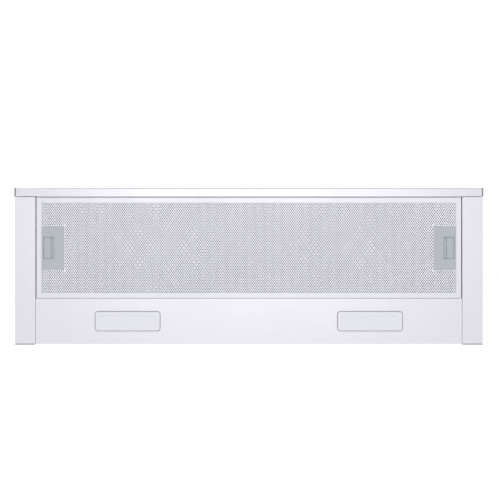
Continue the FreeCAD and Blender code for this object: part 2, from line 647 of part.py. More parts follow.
def make_motor():
    """The motor in the wheel's right half, its bracket, and the shaft with its nut."""
    shaft = rod("x", (WHEEL_Y, "wheel_z"), "shaft_round", "-shaft_left", "shaft_right")
    seat = "-disc_gauge / 2 - hub_length"
    nut_end = (f"{seat} - nut_height", seat)
    nut = cut(rod("x", (WHEEL_Y, "wheel_z"), "nut_round", *nut_end),
              rod("x", (WHEEL_Y, "wheel_z"), "shaft_round", *nut_end))
    keep(group(shaft, nut), "motor_shaft")

    axle = (WHEEL_Y, "wheel_z")
    can = rod("x", axle, "motor_round", "motor_left", "motor_right")
    neck = rod("x", axle, "neck_round", "motor_right", SCROLL_OUT)
    bore = rod("x", axle, "shaft_round + shaft_fit", "motor_left", "shaft_right + seat_gap")
    keep(cut(fuse(can, neck), bore), "motor_body")

    bracket = place_on_axle(body("motor_bracket"))
    plate = (SCROLL_OUT, f"{SCROLL_OUT} + bracket_gauge")
    pad(bracket, "YZ", *plate, ("0", "0", "bracket_hub"))
    arm = pad(bracket, "YZ", *plate, rect(("0", "arm_length"), both("arm_width / 2")))
    pattern = bracket.newObject("PartDesign::PolarPattern", "Arms")
    pattern.Originals = [arm]
    pattern.Axis = (origin_feature(bracket, "X_Axis"), [""])
    pattern.Angle = 360
    bind(pattern, "Occurrences", "arm_count")
    bracket.Tip = pattern


# ---- duct collar and back-draught flaps ----

def make_collar():
    """The round duct collar with its flange, stop ring and middle web, and the two flap pins."""
    foot = "box_height"
    bore = "(collar_round - collar_wall)"
    axis = ("0", DUCT_Y)
    stop = (f"{foot} + stop_height", f"{foot} + stop_height + stop_gauge")
    tube = fuse(rod("z", axis, "collar_round", foot, f"{foot} + collar_height"),
                rod("z", axis, "collar_flange", foot, f"{foot} + flange_gauge"))
    tube = cut(tube, rod("z", axis, bore, foot, f"{foot} + collar_height"))
    ring = cut(rod("z", axis, f"{bore} + collar_wall / 2", *stop),
               rod("z", axis, f"{bore} - stop_reach", *stop))
    web = block(both(f"{bore} + collar_wall / 4"), around(DUCT_Y, "web_gauge / 2"),
                (f"{foot} + web_foot", f"{foot} + web_foot + web_height"))
    holes, pins = [], []
    for i in (-1, 1):
        place = (f"{DUCT_Y} + {i} * pin_offset", f"{foot} + pin_height")
        holes.append(rod("x", place, "pin_round + pin_fit", *both(f"{bore} + pin_seat")))
        pins.append(rod("x", place, "pin_round", *both(f"{bore} + pin_seat")))
    for place in collar_screw_places():
        holes.append(rod("z", place, "screw_round + screw_fit", foot, f"{foot} + flange_gauge"))
    collar = cut(fuse(tube, ring, web), *holes)
    keep(group(collar, *pins), "duct_collar")


def make_flap(name, side):
    """One half-disc flap, from its barrel on the pin outward to the collar's wall."""
    axle = (f"{DUCT_Y} + {side} * pin_offset", "box_height + pin_height")
    floor = "box_height + stop_height + stop_gauge + fit_gap"
    plate = (floor, f"{floor} + flap_gauge")
    disc = rod("z", ("0", DUCT_Y), "collar_round - collar_wall - flap_gap", *plate)
    kept = axle[0] if side > 0 else f"{DUCT_Y} - collar_round"
    limit = f"{DUCT_Y} + collar_round" if side > 0 else axle[0]
    half = DOC.addObject("Part::Common", "Half")
    half.Base = disc
    half.Tool = block(both("collar_round"), (kept, limit), plate)
    barrel = rod("x", axle, "knuckle_round", *both("knuckle_half"))
    bore = rod("x", axle, "pin_round + pin_fit", *both("collar_round"))
    keep(cut(fuse(half, barrel), bore), f"flap_{name}")


# ---- electrics ----

def make_terminal_box():
    """The terminal box on the roof, its lid, the terminal block and the mains cable gland."""
    right = f"({BOX_HALF} - terminal_inset_x)"
    left = f"({right} - terminal_width)"
    rear = f"({BOX_REAR} - terminal_inset_y)"
    front = f"({rear} - terminal_depth)"
    foot, head = "box_height", "(box_height + terminal_height)"
    middle = f"(({front} + {rear}) / 2)"
    level = f"(({foot} + {head}) / 2)"

    def outline(shrink):
        """The terminal box's rectangle, smaller all round by shrink."""
        return rect((f"{left} + {shrink}", f"{right} - {shrink}"),
                    (f"{front} + {shrink}", f"{rear} - {shrink}"))

    case = body("terminal_box")
    pad(case, "XY", foot, head, outline("0"))
    pocket(case, "XY", f"{foot} + terminal_wall", head, outline("terminal_wall"))
    soften(case, "terminal_wall", "z", lambda point: True)
    pocket(case, "YZ", f"{right} - terminal_wall", right, (middle, level, "gland_neck + fit_gap"))

    lid = body("terminal_lid")
    pad(lid, "XY", head, f"{head} + terminal_wall", outline("0"))
    soften(lid, "terminal_wall", "z", lambda point: True)
    inset = "terminal_wall + seat_gap"
    pad(lid, "XY", f"{head} - terminal_wall", head, outline(inset), outline(f"{inset} + terminal_wall"))

    terminals = body("terminal_block")
    start = f"({left} + block_inset)"
    top = f"{foot} + terminal_wall + block_height"
    pad(terminals, "XY", f"{foot} + terminal_wall", top,
        rect((start, f"{start} + block_width"), around(middle, "block_depth / 2")))
    wells = [(f"{start} + block_width * {n} / 6", f"{middle} + {j} * block_depth / 4", "screw_round")
             for n in (1, 3, 5) for j in (-1, 1)]
    pocket(terminals, "XY", f"{top} - block_height / 3", top, *wells)

    axis = (middle, level)
    span = (f"{right} - gland_in", f"{right} + gland_out")
    neck = rod("x", axis, "gland_neck", *span)
    barrel = rod("x", axis, "gland_round", right, span[1])
    gland = cut(fuse(neck, barrel), rod("x", axis, "gland_bore", *span))
    nut_end = (f"{right} - terminal_wall - gland_nut", f"{right} - terminal_wall")
    nut = cut(rod("x", axis, "gland_round", *nut_end), rod("x", axis, "gland_neck", *nut_end))
    keep(group(gland, nut), "cable_gland")


def make_capacitor():
    """The motor's capacitor, hung from the box's roof by a stud and a nut."""
    axis = CAN_PLACE
    can = rod("z", axis, "can_round", f"{BOX_ROOF} - can_length", BOX_ROOF)
    stud = rod("z", axis, "stud_round", BOX_ROOF, "box_height + stud_height")
    nut_end = ("box_height", "box_height + nut_height")
    nut = cut(rod("z", axis, "nut_round", *nut_end), rod("z", axis, "stud_round", *nut_end))
    keep(group(fuse(can, stud), nut), "capacitor")


def make_drawer_switch():
    """The switch that the drawer's tab holds down when it is shut, and its lever."""
    left, right = SWITCH_LEFT, f"({SWITCH_LEFT} + switch_width)"
    face = f"({TRAY_BACK} - switch_depth)"
    tab = f"({ARM_REAR} + lever_gap)"
    axle = (f"({left} - lever_step)", f"({tab} + lever_set)")
    half = "switch_height / 2"
    case = block((left, right), (face, TRAY_BACK), around(SWITCH_Z, half))
    plunger = rod("y", (f"{left} + plunger_x", SWITCH_Z), "plunger_round",
                  f"{tab} + lever_gauge + fit_gap", face)
    pieces = [case, plunger]
    gap = "(lever_height / 2 + fit_gap)"
    for low, high in ((f"{SWITCH_Z} + {gap}", f"{SWITCH_Z} + {gap} + ear_height"),
                      (f"{SWITCH_Z} - {gap} - ear_height", f"{SWITCH_Z} - {gap}")):
        pieces.append(block((f"{axle[0]} - lever_eye", f"{left} + lever_eye"),
                            (f"{axle[1]} - lever_eye", TRAY_BACK), (low, high)))
    pieces.append(rod("z", axle, "lever_pin", *around(SWITCH_Z, f"{gap} + ear_height")))
    keep(fuse(*pieces), "drawer_switch")

    tall = around(SWITCH_Z, "lever_height / 2")
    blade = block((axle[0], right), (tab, f"{tab} + lever_gauge"), tall)
    eye = rod("z", axle, "lever_eye", *tall)
    keep(cut(fuse(blade, eye), rod("z", axle, "lever_pin + shaft_fit", *tall)), "switch_lever")


# ---- drawer, fascia, controls and runners ----

def make_fascia():
    """The fascia: a folded steel channel, open behind between two return lips, with the window
    for the buttons."""
    fascia = body("fascia")
    half = "(overall_width / 2 - cap_plate)"
    top, foot = "-fascia_head", FASCIA_FOOT
    skin, back = f"({FRONT} + fascia_wall)", f"({FASCIA_BACK} - fascia_wall)"
    channel = [
        (FRONT, foot), (FASCIA_BACK, foot), (FASCIA_BACK, f"{foot} + fascia_lip"),
        (back, f"{foot} + fascia_lip"), (back, f"{foot} + fascia_wall"),
        (skin, f"{foot} + fascia_wall"), (skin, f"{top} - fascia_wall"),
        (back, f"{top} - fascia_wall"), (back, f"{top} - fascia_lip"),
        (FASCIA_BACK, f"{top} - fascia_lip"), (FASCIA_BACK, top), (FRONT, top),
    ]
    pad(fascia, "YZ", f"-{half}", half, channel)
    front = number(FRONT)
    soften(fascia, "fascia_round", "x", lambda point: abs(point.y - front) < 1e-6)
    window = rect(around(BUTTON_MID, "bezel_width / 2 + fit_gap"),
                  around(FASCIA_MID, "bezel_height / 2 + fit_gap"))
    pocket(fascia, "XZ", FRONT, skin, window)
    pocket(fascia, "XZ", back, FASCIA_BACK, *hole_circles(fascia_screw_places()))


def fascia_screw_places():
    """A row of screws near the top of the drawer's front wall."""
    reach = f"({ARM_IN} - fascia_screw_inset)"
    return [(f"(2 * {n} / (fascia_screw_count - 1) - 1) * {reach}", "-fascia_screw_drop")
            for n in range(int(SIZES["fascia_screw_count"]))]


def make_fascia_caps():
    """The moulded end caps that plug into the fascia."""
    cap = body("fascia_cap_right")
    inner = "(overall_width / 2 - cap_plate)"
    pad(cap, "YZ", inner, "overall_width / 2", rect((FRONT, FASCIA_BACK), (FASCIA_FOOT, "-fascia_head")))
    front = number(FRONT)
    soften(cap, "fascia_round", "x", lambda point: abs(point.y - front) < 1e-6)

    def outline(shrink):
        """The fascia's section, smaller all round by shrink."""
        return rect((f"{FRONT} + {shrink}", f"{FASCIA_BACK} - ({shrink})"),
                    (f"{FASCIA_FOOT} + {shrink}", f"-fascia_head - ({shrink})"))

    plug = "fascia_wall + fit_gap"
    pad(cap, "YZ", f"{inner} - cap_plug", inner, outline(plug), outline(f"{plug} + cap_wall"))
    mirrored(cap, "fascia_cap_left")


def make_drawer():
    """The drawer's frame (front wall, two arms, rear bar, switch tab) and the sheet over it."""
    frame = body("drawer_frame")
    wall = f"({FASCIA_BACK} + steel)"
    pad(frame, "XY", ARM_FOOT, ARM_HEAD, rect(both(ARM_OUT), (FASCIA_BACK, wall)))
    for side in SIDES.values():
        arm = (ARM_IN, ARM_OUT) if side > 0 else (f"-{ARM_OUT}", f"-{ARM_IN}")
        pad(frame, "XY", ARM_FOOT, ARM_HEAD, rect(arm, (wall, ARM_REAR)))
    bar = rect(both(ARM_IN), (f"{FILTER_REAR} - steel", FILTER_REAR))
    pad(frame, "XY", ARM_FOOT, f"{ARM_FOOT} + rear_bar", bar)
    tab = rect((f"{ARM_IN} - trip_reach", ARM_IN), around(SWITCH_Z, "trip_height / 2"))
    pad(frame, "XZ", f"{ARM_REAR} - steel", ARM_REAR, tab)
    keeper = rect(around(FILTER_MID, "bolt_length / 2 + 2 * slider_gap"),
                  (f"{BOLT_FOOT} - seat_gap", f"{BOLT_HEAD} + seat_gap"))
    pocket(frame, "YZ", f"-{ARM_OUT}", ARM_OUT, keeper)
    pocket(frame, "XZ", FASCIA_BACK, wall, *hole_circles(fascia_screw_places()))

    sheet = body("drawer_top_panel")
    pad(sheet, "XY", ARM_HEAD, "-drawer_head",
        rect(both(ARM_OUT), (FASCIA_BACK, f"{FASCIA_BACK} + drawer_travel")))
    keep(group(*[screw("y", place, wall, -1) for place in fascia_screw_places()]), "fascia_screws")


def make_controls():
    """The button bezel in the fascia's window, the switch module behind it and the buttons."""
    places = [f"({BUTTON_MID} + {n} * button_pitch)" for n in (-2, -1, 0, 1, 2)]
    names = ["button_off", "button_speed_1", "button_speed_2", "button_speed_3", "button_light"]

    def cap_outline(place, grow):
        """A button's rectangle in the fascia's plane, larger all round by grow."""
        return rect(around(place, f"button_width / 2 + {grow}"),
                    around(FASCIA_MID, f"button_height / 2 + {grow}"))

    bezel = body("button_bezel")
    inner = f"({FRONT} + fascia_wall)"
    back = f"({inner} + bezel_gauge)"
    insert = rect(around(BUTTON_MID, "bezel_width / 2"), around(FASCIA_MID, "bezel_height / 2"))
    flange = rect(around(BUTTON_MID, "bezel_width / 2 + bezel_flange"),
                  around(FASCIA_MID, "bezel_height / 2 + bezel_flange"))
    pad(bezel, "XZ", f"{FRONT} + bezel_sink", inner, insert)
    pad(bezel, "XZ", inner, back, flange)
    openings = [cap_outline(place, "button_gap") for place in places]
    pocket(bezel, "XZ", f"{FRONT} + bezel_sink", back, *openings)

    stop = f"({FRONT} + button_depth + button_travel + seat_gap)"
    module = body("switch_module")
    half = "(bezel_width / 2 - module_inset)"
    pad(module, "XZ", stop, f"{stop} + module_depth",
        rect(around(BUTTON_MID, half), around(FASCIA_MID, "module_height / 2")))
    for i in (-1, 1):
        post = around(f"{BUTTON_MID} + {i} * ({half} - module_post / 2)", "module_post / 2")
        pad(module, "XZ", back, stop, rect(post, around(FASCIA_MID, "module_height / 2")))

    for name, place in zip(names, places):
        button = body(name)
        pad(button, "XZ", FRONT, f"{FRONT} + button_depth", cap_outline(place, "0"))
        soften(button, "button_gap * 2", "y", lambda point: True)


def make_runners():
    """The fixed outer rails, the drawer's inner rails and the caged balls between them."""
    outer = body("outer_rail_right")
    web, lip = f"{STRIP_INNER} - rail_gauge", f"{STRIP_INNER} - outer_reach"
    top, foot = "-rail_top", "(-rail_top - rail_height)"
    channel = [
        (STRIP_INNER, foot), (STRIP_INNER, top), (lip, top), (lip, f"{top} - rail_gauge"),
        (web, f"{top} - rail_gauge"), (web, f"{foot} + rail_gauge"), (lip, f"{foot} + rail_gauge"),
        (lip, foot),
    ]
    pad(outer, "XZ", RAIL_FRONT, RAIL_REAR, channel)
    mirrored(outer, "outer_rail_left")

    inner = body("inner_rail_right")
    web, lip = f"{ARM_OUT} + rail_gauge", f"{ARM_OUT} + inner_reach"
    top, foot = f"{RAIL_MID} + {INNER_RAIL_HALF}", f"{RAIL_MID} - {INNER_RAIL_HALF}"
    channel = [
        (ARM_OUT, foot), (lip, foot), (lip, f"{foot} + rail_gauge"), (web, f"{foot} + rail_gauge"),
        (web, f"{top} - rail_gauge"), (lip, f"{top} - rail_gauge"), (lip, top), (ARM_OUT, top),
    ]
    pad(inner, "XZ", RAIL_FRONT, RAIL_REAR, channel)
    mirrored(inner, "inner_rail_left")

    centre = f"({ARM_OUT} + ball_offset)"
    edge = f"({ARM_OUT} + inner_reach + seat_gap)"
    strip = (f"{edge} - cage_strip", edge)
    run = (CAGE_FRONT, f"{CAGE_FRONT} + cage_length")
    pieces = [block((edge, f"{edge} + cage_gauge"), run, around(RAIL_MID, f"{BALL_LIFT} + cage_gauge / 2"))]
    holes, balls = [], []
    for i in (-1, 1):
        level = f"({RAIL_MID} + {i} * {BALL_LIFT})"
        pieces.append(block(strip, run, around(level, "cage_gauge / 2")))
        for n in range(int(SIZES["ball_count"])):
            place = f"({CAGE_FRONT} + ball_inset + {n} * ball_pitch)"
            balls.append(ball(centre, place, level, "ball_size / 2"))
            holes.append(rod("z", (centre, place), "ball_size / 2 + ball_gap",
                             *around(level, "cage_gauge / 2")))
    cage = group(cut(fuse(*pieces), *holes), *balls)
    keep(cage, "ball_cage_right")
    mirrored(cage, "ball_cage_left")


# ---- filter cassette and its latches ----

def filter_outline(shrink):
    """The filter's rectangle, smaller all round by shrink."""
    return rect(both(f"{FILTER_HALF} - ({shrink})"), around(FILTER_MID, f"filter_depth / 2 - ({shrink})"))


def latch_notches():
    """The rectangles at both ends that make room for the latch plates."""
    inner = f"({PLATE_OUT} - plate_width - fit_gap)"
    across = around(FILTER_MID, "plate_length / 2 + seat_gap")
    return [rect((inner, FILTER_HALF), across), rect((f"-{FILTER_HALF}", f"-{inner}"), across)]


def make_filter():
    """The grease filter: a channel frame all round, and expanded-metal sheets held in it."""
    frame = body("filter_frame")
    low, high = f"{FLOOR} + filter_wall", f"{FILTER_TOP} - filter_wall"
    pad(frame, "XY", FLOOR, FILTER_TOP, filter_outline("0"), filter_outline("filter_border"))
    pocket(frame, "XY", low, high, filter_outline("filter_wall"))
    edge = "filter_wall + seat_gap"
    sheets = {
        "filter_mesh_lower": f"{low} + fit_gap",
        "filter_mesh_upper": f"{high} - fit_gap - mesh_gauge",
    }
    for name, floor in sheets.items():
        mesh = body(name)
        pad(mesh, "XY", floor, f"{floor} + mesh_gauge", filter_outline(edge))
        pocket(mesh, "XY", floor, f"{floor} + mesh_gauge", *latch_notches())
    middle = f"({FLOOR} + filter_height / 2)"
    layers = []
    for n in range(int(SIZES["core_count"])):
        floor = f"({middle} + ({n} - (core_count - 1) / 2) * core_pitch)"
        x_half, y_half = f"{FILTER_HALF} - ({edge})", f"filter_depth / 2 - ({edge})"
        sheet = block(both(x_half), around(FILTER_MID, y_half), around(floor, "core_gauge / 2"))
        inner = f"({PLATE_OUT} - plate_width - fit_gap)"
        across = around(FILTER_MID, "plate_length / 2 + seat_gap")
        right = block((inner, FILTER_HALF), across, around(floor, "core_gauge"))
        left = block((f"-{FILTER_HALF}", f"-{inner}"), across, around(floor, "core_gauge"))
        layers.append(cut(sheet, right, left))
    keep(group(*layers), "filter_mesh_core")


def make_latches():
    """At each end of the filter a moulded plate with a finger pocket, the slider in it, and the
    spring that holds the slider's bolt out through the drawer's arm."""
    plate = body("latch_plate_right")
    inner = f"({PLATE_OUT} - plate_width)"
    face = f"({FLOOR} - plate_proud)"
    across = around(FILTER_MID, "plate_length / 2")
    pad(plate, "XY", face, FILTER_TOP, rect((inner, PLATE_OUT), across))
    edge = number(inner)
    soften(plate, "plate_round", "z", lambda point: abs(point.x - edge) < 1e-6)
    channel = (f"{FLOOR} + filter_wall + fit_gap", f"{FILTER_TOP} - filter_wall - fit_gap")
    tongue = (PLATE_OUT, f"{FILTER_HALF} - filter_wall - seat_gap")
    pad(plate, "XY", *channel, rect(tongue, around(FILTER_MID, "plate_length / 2 - seat_gap")))
    guide_in = f"({SPRING_END} - guide_wall)"
    room = "bolt_length / 2 + slider_gap"
    pad(plate, "XY", FILTER_TOP, GUIDE_HEAD,
        rect((guide_in, PLATE_OUT), around(FILTER_MID, f"{room} + guide_wall")))
    pocket(plate, "XY", face, POCKET_TOP,
           rect((POCKET_IN, POCKET_OUT), around(FILTER_MID, "pocket_length / 2")))
    neck_mid = f"({SLIDER_IN} + slider_width / 2)"
    slot = rect((f"{neck_mid} - neck_width / 2 - latch_travel - seat_gap",
                 f"{neck_mid} + neck_width / 2 + seat_gap"), around(FILTER_MID, "neck_length / 2 + seat_gap"))
    pocket(plate, "XY", POCKET_TOP, f"{BOLT_FOOT} - slider_gap", slot)
    pocket(plate, "XY", f"{BOLT_FOOT} - slider_gap", f"{BOLT_HEAD} + slider_gap",
           rect((SPRING_END, PLATE_OUT), around(FILTER_MID, room)))
    mirrored(plate, "latch_plate_left")

    slider = body("latch_slider_right")
    top = f"({POCKET_TOP} - seat_gap)"
    pad(slider, "XY", f"{face} + slider_sink", top,
        rect((SLIDER_IN, SLIDER_OUT), around(FILTER_MID, "pocket_length / 2 - slider_gap")))
    pad(slider, "XY", top, BOLT_FOOT, rect(around(neck_mid, "neck_width / 2"),
                                           around(FILTER_MID, "neck_length / 2")))
    pad(slider, "XY", BOLT_FOOT, BOLT_HEAD, rect((SLIDER_IN, f"{ARM_OUT} + bolt_reach"),
                                                 around(FILTER_MID, "bolt_length / 2")))
    mirrored(slider, "latch_slider_left")

    helix = DOC.addObject("Part::Helix", "Coil")
    bind(helix, "Radius", "spring_round")
    bind(helix, "Height", "spring_length - spring_wire")
    bind(helix, "Pitch", "(spring_length - spring_wire) / spring_turns")
    wire = DOC.addObject("Part::Circle", "Wire")
    bind(wire, "Radius", "spring_wire / 2")
    wire.Placement = Placement(Vector(), TURNS["y"])
    bind(wire, ".Placement.Base.x", "spring_round")
    coil = DOC.addObject("Part::Sweep", "Spring")
    coil.Sections = [wire]
    coil.Spine = helix
    coil.Solid = True
    coil.Frenet = True
    coil.Placement = Placement(Vector(), TURNS["x"])
    bind(coil, ".Placement.Base.x", f"{SPRING_END} + spring_wire / 2")
    bind(coil, ".Placement.Base.y", FILTER_MID)
    bind(coil, ".Placement.Base.z", f"({BOLT_FOOT} + {BOLT_HEAD}) / 2")
    keep(coil, "latch_spring_right")
    mirrored(coil, "latch_spring_left")


def write_parts():
    """Checks every object and writes one STEP file for each sub-part."""
    DOC.recompute()
    failed = [item.Label for item in DOC.Objects if {"Invalid", "Error"} & set(item.State)]
    if failed:
        raise ValueError(f"objects that failed to recompute: {failed}")
    os.makedirs("parts", exist_ok=True)
    for label, item in NODES.items():
        if item.Shape.isNull() or not item.Shape.isValid():
            raise ValueError(f"{label} has no valid shape")
        item.Shape.exportStep(os.path.join("parts", f"{label}.step"))


make_tray()
make_side_covers()
make_lamp_panel()
for hand, side in SIDES.items():
    make_lamp(hand, side)
make_led_boards()
make_box()
make_body_screws()
make_inner_filter()
make_scroll()
make_fan_wheel()
make_motor()
make_collar()
make_flap("rear", 1)
make_flap("front", -1)
make_terminal_box()
make_capacitor()
make_drawer_switch()
make_fascia()
make_fascia_caps()
make_drawer()
make_controls()
make_runners()
make_filter()
make_latches()
write_parts()
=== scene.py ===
"""The looks of an under cabinet range hood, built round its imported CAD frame.

The hood hangs under a wall cabinet. Its thin drawer carries the fascia with the push buttons
and the grease filter, and the fixed tray above it carries the side covers, the lamps and the
blower box.

Lengths are in metres in the frame's own axes: X to the right, -Y to the front, Z up, and the origin
between the four cabinet screws on the tray's top.
"""

import json
import logging
import math
from collections.abc import Callable, Iterable, Iterator
from contextlib import contextmanager
from dataclasses import dataclass, field
from enum import Enum

import bmesh
import bpy
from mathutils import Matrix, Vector

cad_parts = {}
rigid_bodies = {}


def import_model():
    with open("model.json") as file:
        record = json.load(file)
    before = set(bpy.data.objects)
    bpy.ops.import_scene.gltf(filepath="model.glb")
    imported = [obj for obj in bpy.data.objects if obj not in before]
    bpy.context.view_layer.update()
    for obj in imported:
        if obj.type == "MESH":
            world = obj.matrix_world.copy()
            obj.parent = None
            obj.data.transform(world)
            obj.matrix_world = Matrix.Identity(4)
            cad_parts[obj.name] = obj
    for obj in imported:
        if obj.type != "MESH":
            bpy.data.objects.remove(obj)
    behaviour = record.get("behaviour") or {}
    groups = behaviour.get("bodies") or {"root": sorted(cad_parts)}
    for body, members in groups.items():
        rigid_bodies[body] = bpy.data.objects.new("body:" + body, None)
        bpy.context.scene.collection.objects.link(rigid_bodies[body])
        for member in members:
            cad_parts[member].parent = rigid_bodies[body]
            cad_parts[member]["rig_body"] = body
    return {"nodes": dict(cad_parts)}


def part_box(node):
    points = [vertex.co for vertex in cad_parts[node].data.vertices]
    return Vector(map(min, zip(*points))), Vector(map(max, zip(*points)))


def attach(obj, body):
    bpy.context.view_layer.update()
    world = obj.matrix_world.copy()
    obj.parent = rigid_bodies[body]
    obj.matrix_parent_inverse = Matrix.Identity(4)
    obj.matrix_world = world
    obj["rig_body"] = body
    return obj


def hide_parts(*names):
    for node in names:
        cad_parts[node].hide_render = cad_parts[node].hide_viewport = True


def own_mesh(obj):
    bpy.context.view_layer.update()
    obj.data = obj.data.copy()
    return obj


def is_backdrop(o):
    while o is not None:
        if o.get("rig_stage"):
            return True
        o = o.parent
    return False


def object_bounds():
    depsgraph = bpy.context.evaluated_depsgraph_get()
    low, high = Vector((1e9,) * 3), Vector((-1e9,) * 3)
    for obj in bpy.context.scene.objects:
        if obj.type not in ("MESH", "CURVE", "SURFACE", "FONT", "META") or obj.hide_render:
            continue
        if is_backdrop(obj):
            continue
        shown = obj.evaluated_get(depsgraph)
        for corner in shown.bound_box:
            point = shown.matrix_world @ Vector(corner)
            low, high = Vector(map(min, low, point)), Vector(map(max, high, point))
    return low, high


Colour = tuple[float, float, float]
Tone = tuple[float, ...]
Object = bpy.types.Object
PairTest = Callable[[Vector, Vector], bool]

LOG = logging.getLogger("range_hood")
SIDES = ("left", "right")
MM = 0.001

# Places nearer than TOUCH count as one, and vertices nearer than the others are merged.
TOUCH = 0.01 * MM
WELD = 0.004 * MM
SPRING_WELD = 0.002 * MM
SHEET_WELD = 0.05 * MM
# Faces that meet at less than these are shaded as one or become one.
SMOOTH_ANGLE = math.radians(40.0)
FLAT_ANGLE = math.radians(0.4)
# A face looks along an axis if its normal has this much of it.
FACING = 0.9

# What all finishes share.
COAT_ROUGHNESS = 0.12
SCATTER_DEPTH = 3 * MM
PATCH_SCALE = 9.0
PATCH_DETAIL = 3.0
GRAIN_SHARE = 0.35
TONE_RANGE = (0.3, 0.7)
BUMP_STRENGTH = 0.8


@dataclass(frozen=True)
class GrainShape:
    """How one grain is drawn.

    Attributes:
        stretch: Scale of the pattern along X, Y and Z.
        fineness: Noise scale, in cells to the metre.
        detail: Octaves of the noise.
        height: Depth of the bump, in metres.
        cells: Whether it is drawn as crystals instead of noise.
    """

    stretch: tuple[float, float, float]
    fineness: float
    detail: float
    height: float
    cells: bool = False


class Grain(Enum):
    """The fine structure that a finish shows close up."""

    POWDER = GrainShape((1.0, 1.0, 1.0), 850.0, 2.0, 0.018 * MM)
    ANODISED = GrainShape((0.04, 1.0, 1.0), 1600.0, 3.0, 0.008 * MM)
    SPANGLE = GrainShape((1.0, 1.0, 1.0), 90.0, 1.0, 0.020 * MM, cells=True)
    BRUSHED = GrainShape((1.0, 0.05, 0.05), 1500.0, 3.0, 0.010 * MM)
    MOULDED = GrainShape((1.0, 1.0, 1.0), 1900.0, 2.0, 0.022 * MM)
    FROSTED = GrainShape((1.0, 1.0, 1.0), 1200.0, 1.0, 0.012 * MM)


def add_node(tree: bpy.types.NodeTree, kind: str, **values: object) -> bpy.types.Node:
    """Adds a shader node and sets its properties and inputs.

    Args:
        tree: The node tree.
        kind: The node's type, without ShaderNode in front.
        **values: First properties, in lower case, then inputs, with _ for a space.

    Returns:
        The node.
    """
    node = tree.nodes.new("ShaderNode" + kind)
    for name, value in values.items():
        if name.islower():
            setattr(node, name, value)
        else:
            node.inputs[name.replace("_", " ")].default_value = value
    return node


@dataclass(frozen=True)
class Finish:
    """One surface finish of the hood, made as a procedural material.

    Attributes:
        name: The finish's name, which is also the record's material slot.
        colour: Linear base colour.
        grain: The fine structure.
        metallic: 0 for paint and plastic, 1 for bare metal.
        roughness: Middle of the roughness range.
        spread: How far roughness varies either way.
        mottle: How far the colour darkens in soft patches.
        coat: Weight of a clear coat.
        glow_through: Weight of scattering below the surface.
    """

    name: str
    colour: Colour
    grain: Grain
    metallic: float = 0.0
    roughness: float = 0.4
    spread: float = 0.06
    mottle: float = 0.04
    coat: float = 0.0
    glow_through: float = 0.0

    def material(self) -> bpy.types.Material:
        """Builds the material's nodes.

        Returns:
            The new material.
        """
        made = bpy.data.materials.new(self.name + "_finish")
        made.use_nodes = True
        tree = made.node_tree
        link = tree.links.new
        shader = tree.nodes["Principled BSDF"]
        shader.inputs["Metallic"].default_value = self.metallic
        shader.inputs["Coat Weight"].default_value = self.coat
        shader.inputs["Coat Roughness"].default_value = COAT_ROUGHNESS
        shader.inputs["Subsurface Weight"].default_value = self.glow_through
        shader.inputs["Subsurface Radius"].default_value = (1.0, 1.0, 1.0)
        shader.inputs["Subsurface Scale"].default_value = SCATTER_DEPTH

        place = add_node(tree, "TexCoord")
        fine_map = add_node(tree, "Mapping", Scale=self.grain.value.stretch)
        link(place.outputs["Object"], fine_map.inputs["Vector"])
        fine = self._pattern(tree, fine_map.outputs["Vector"])
        patches = add_node(tree, "TexNoise", Scale=PATCH_SCALE, Detail=PATCH_DETAIL)
        link(place.outputs["Object"], patches.inputs["Vector"])

        blend = add_node(tree, "Mix", Factor=GRAIN_SHARE)
        link(patches.outputs["Fac"], blend.inputs["A"])
        link(fine, blend.inputs["B"])
        light, dark = self._tones()
        tone = add_node(tree, "Mix", data_type="RGBA", A=light, B=dark)
        link(blend.outputs["Result"], tone.inputs["Factor"])
        link(tone.outputs["Result"], shader.inputs["Base Color"])

        rough = add_node(
            tree,
            "MapRange",
            From_Min=TONE_RANGE[0],
            From_Max=TONE_RANGE[1],
            To_Min=self.roughness - self.spread,
            To_Max=self.roughness + self.spread,
        )
        link(blend.outputs["Result"], rough.inputs["Value"])
        link(rough.outputs["Result"], shader.inputs["Roughness"])

        bump = add_node(
            tree, "Bump", Distance=self.grain.value.height, Strength=BUMP_STRENGTH
        )
        link(fine, bump.inputs["Height"])
        link(bump.outputs["Normal"], shader.inputs["Normal"])
        return made

    def _tones(self) -> tuple[Tone, Tone]:
        """Returns the lightest and the darkest tone of the colour."""
        light = tuple(min(1.0, c * (1 + self.mottle / 2)) for c in self.colour)
        dark = tuple(c * (1 - self.mottle) for c in self.colour)
        return (*light, 1.0), (*dark, 1.0)

    def _pattern(
        self, tree: bpy.types.NodeTree, vector: bpy.types.NodeSocket
    ) -> bpy.types.NodeSocket:
        """Adds the node that draws the grain.

        Args:
            tree: The material's node tree.
            vector: The coordinates that the grain follows.

        Returns:
            The socket that gives the grain's height from 0 to 1.
        """
        shape = self.grain.value
        if shape.cells:
            crystals = add_node(tree, "TexVoronoi", Scale=shape.fineness)
            tree.links.new(vector, crystals.inputs["Vector"])
            grey = add_node(tree, "RGBToBW")
            tree.links.new(crystals.outputs["Color"], grey.inputs["Color"])
            return grey.outputs["Val"]
        noise = add_node(tree, "TexNoise", Scale=shape.fineness, Detail=shape.detail)
        tree.links.new(vector, noise.inputs["Vector"])
        return noise.outputs["Fac"]


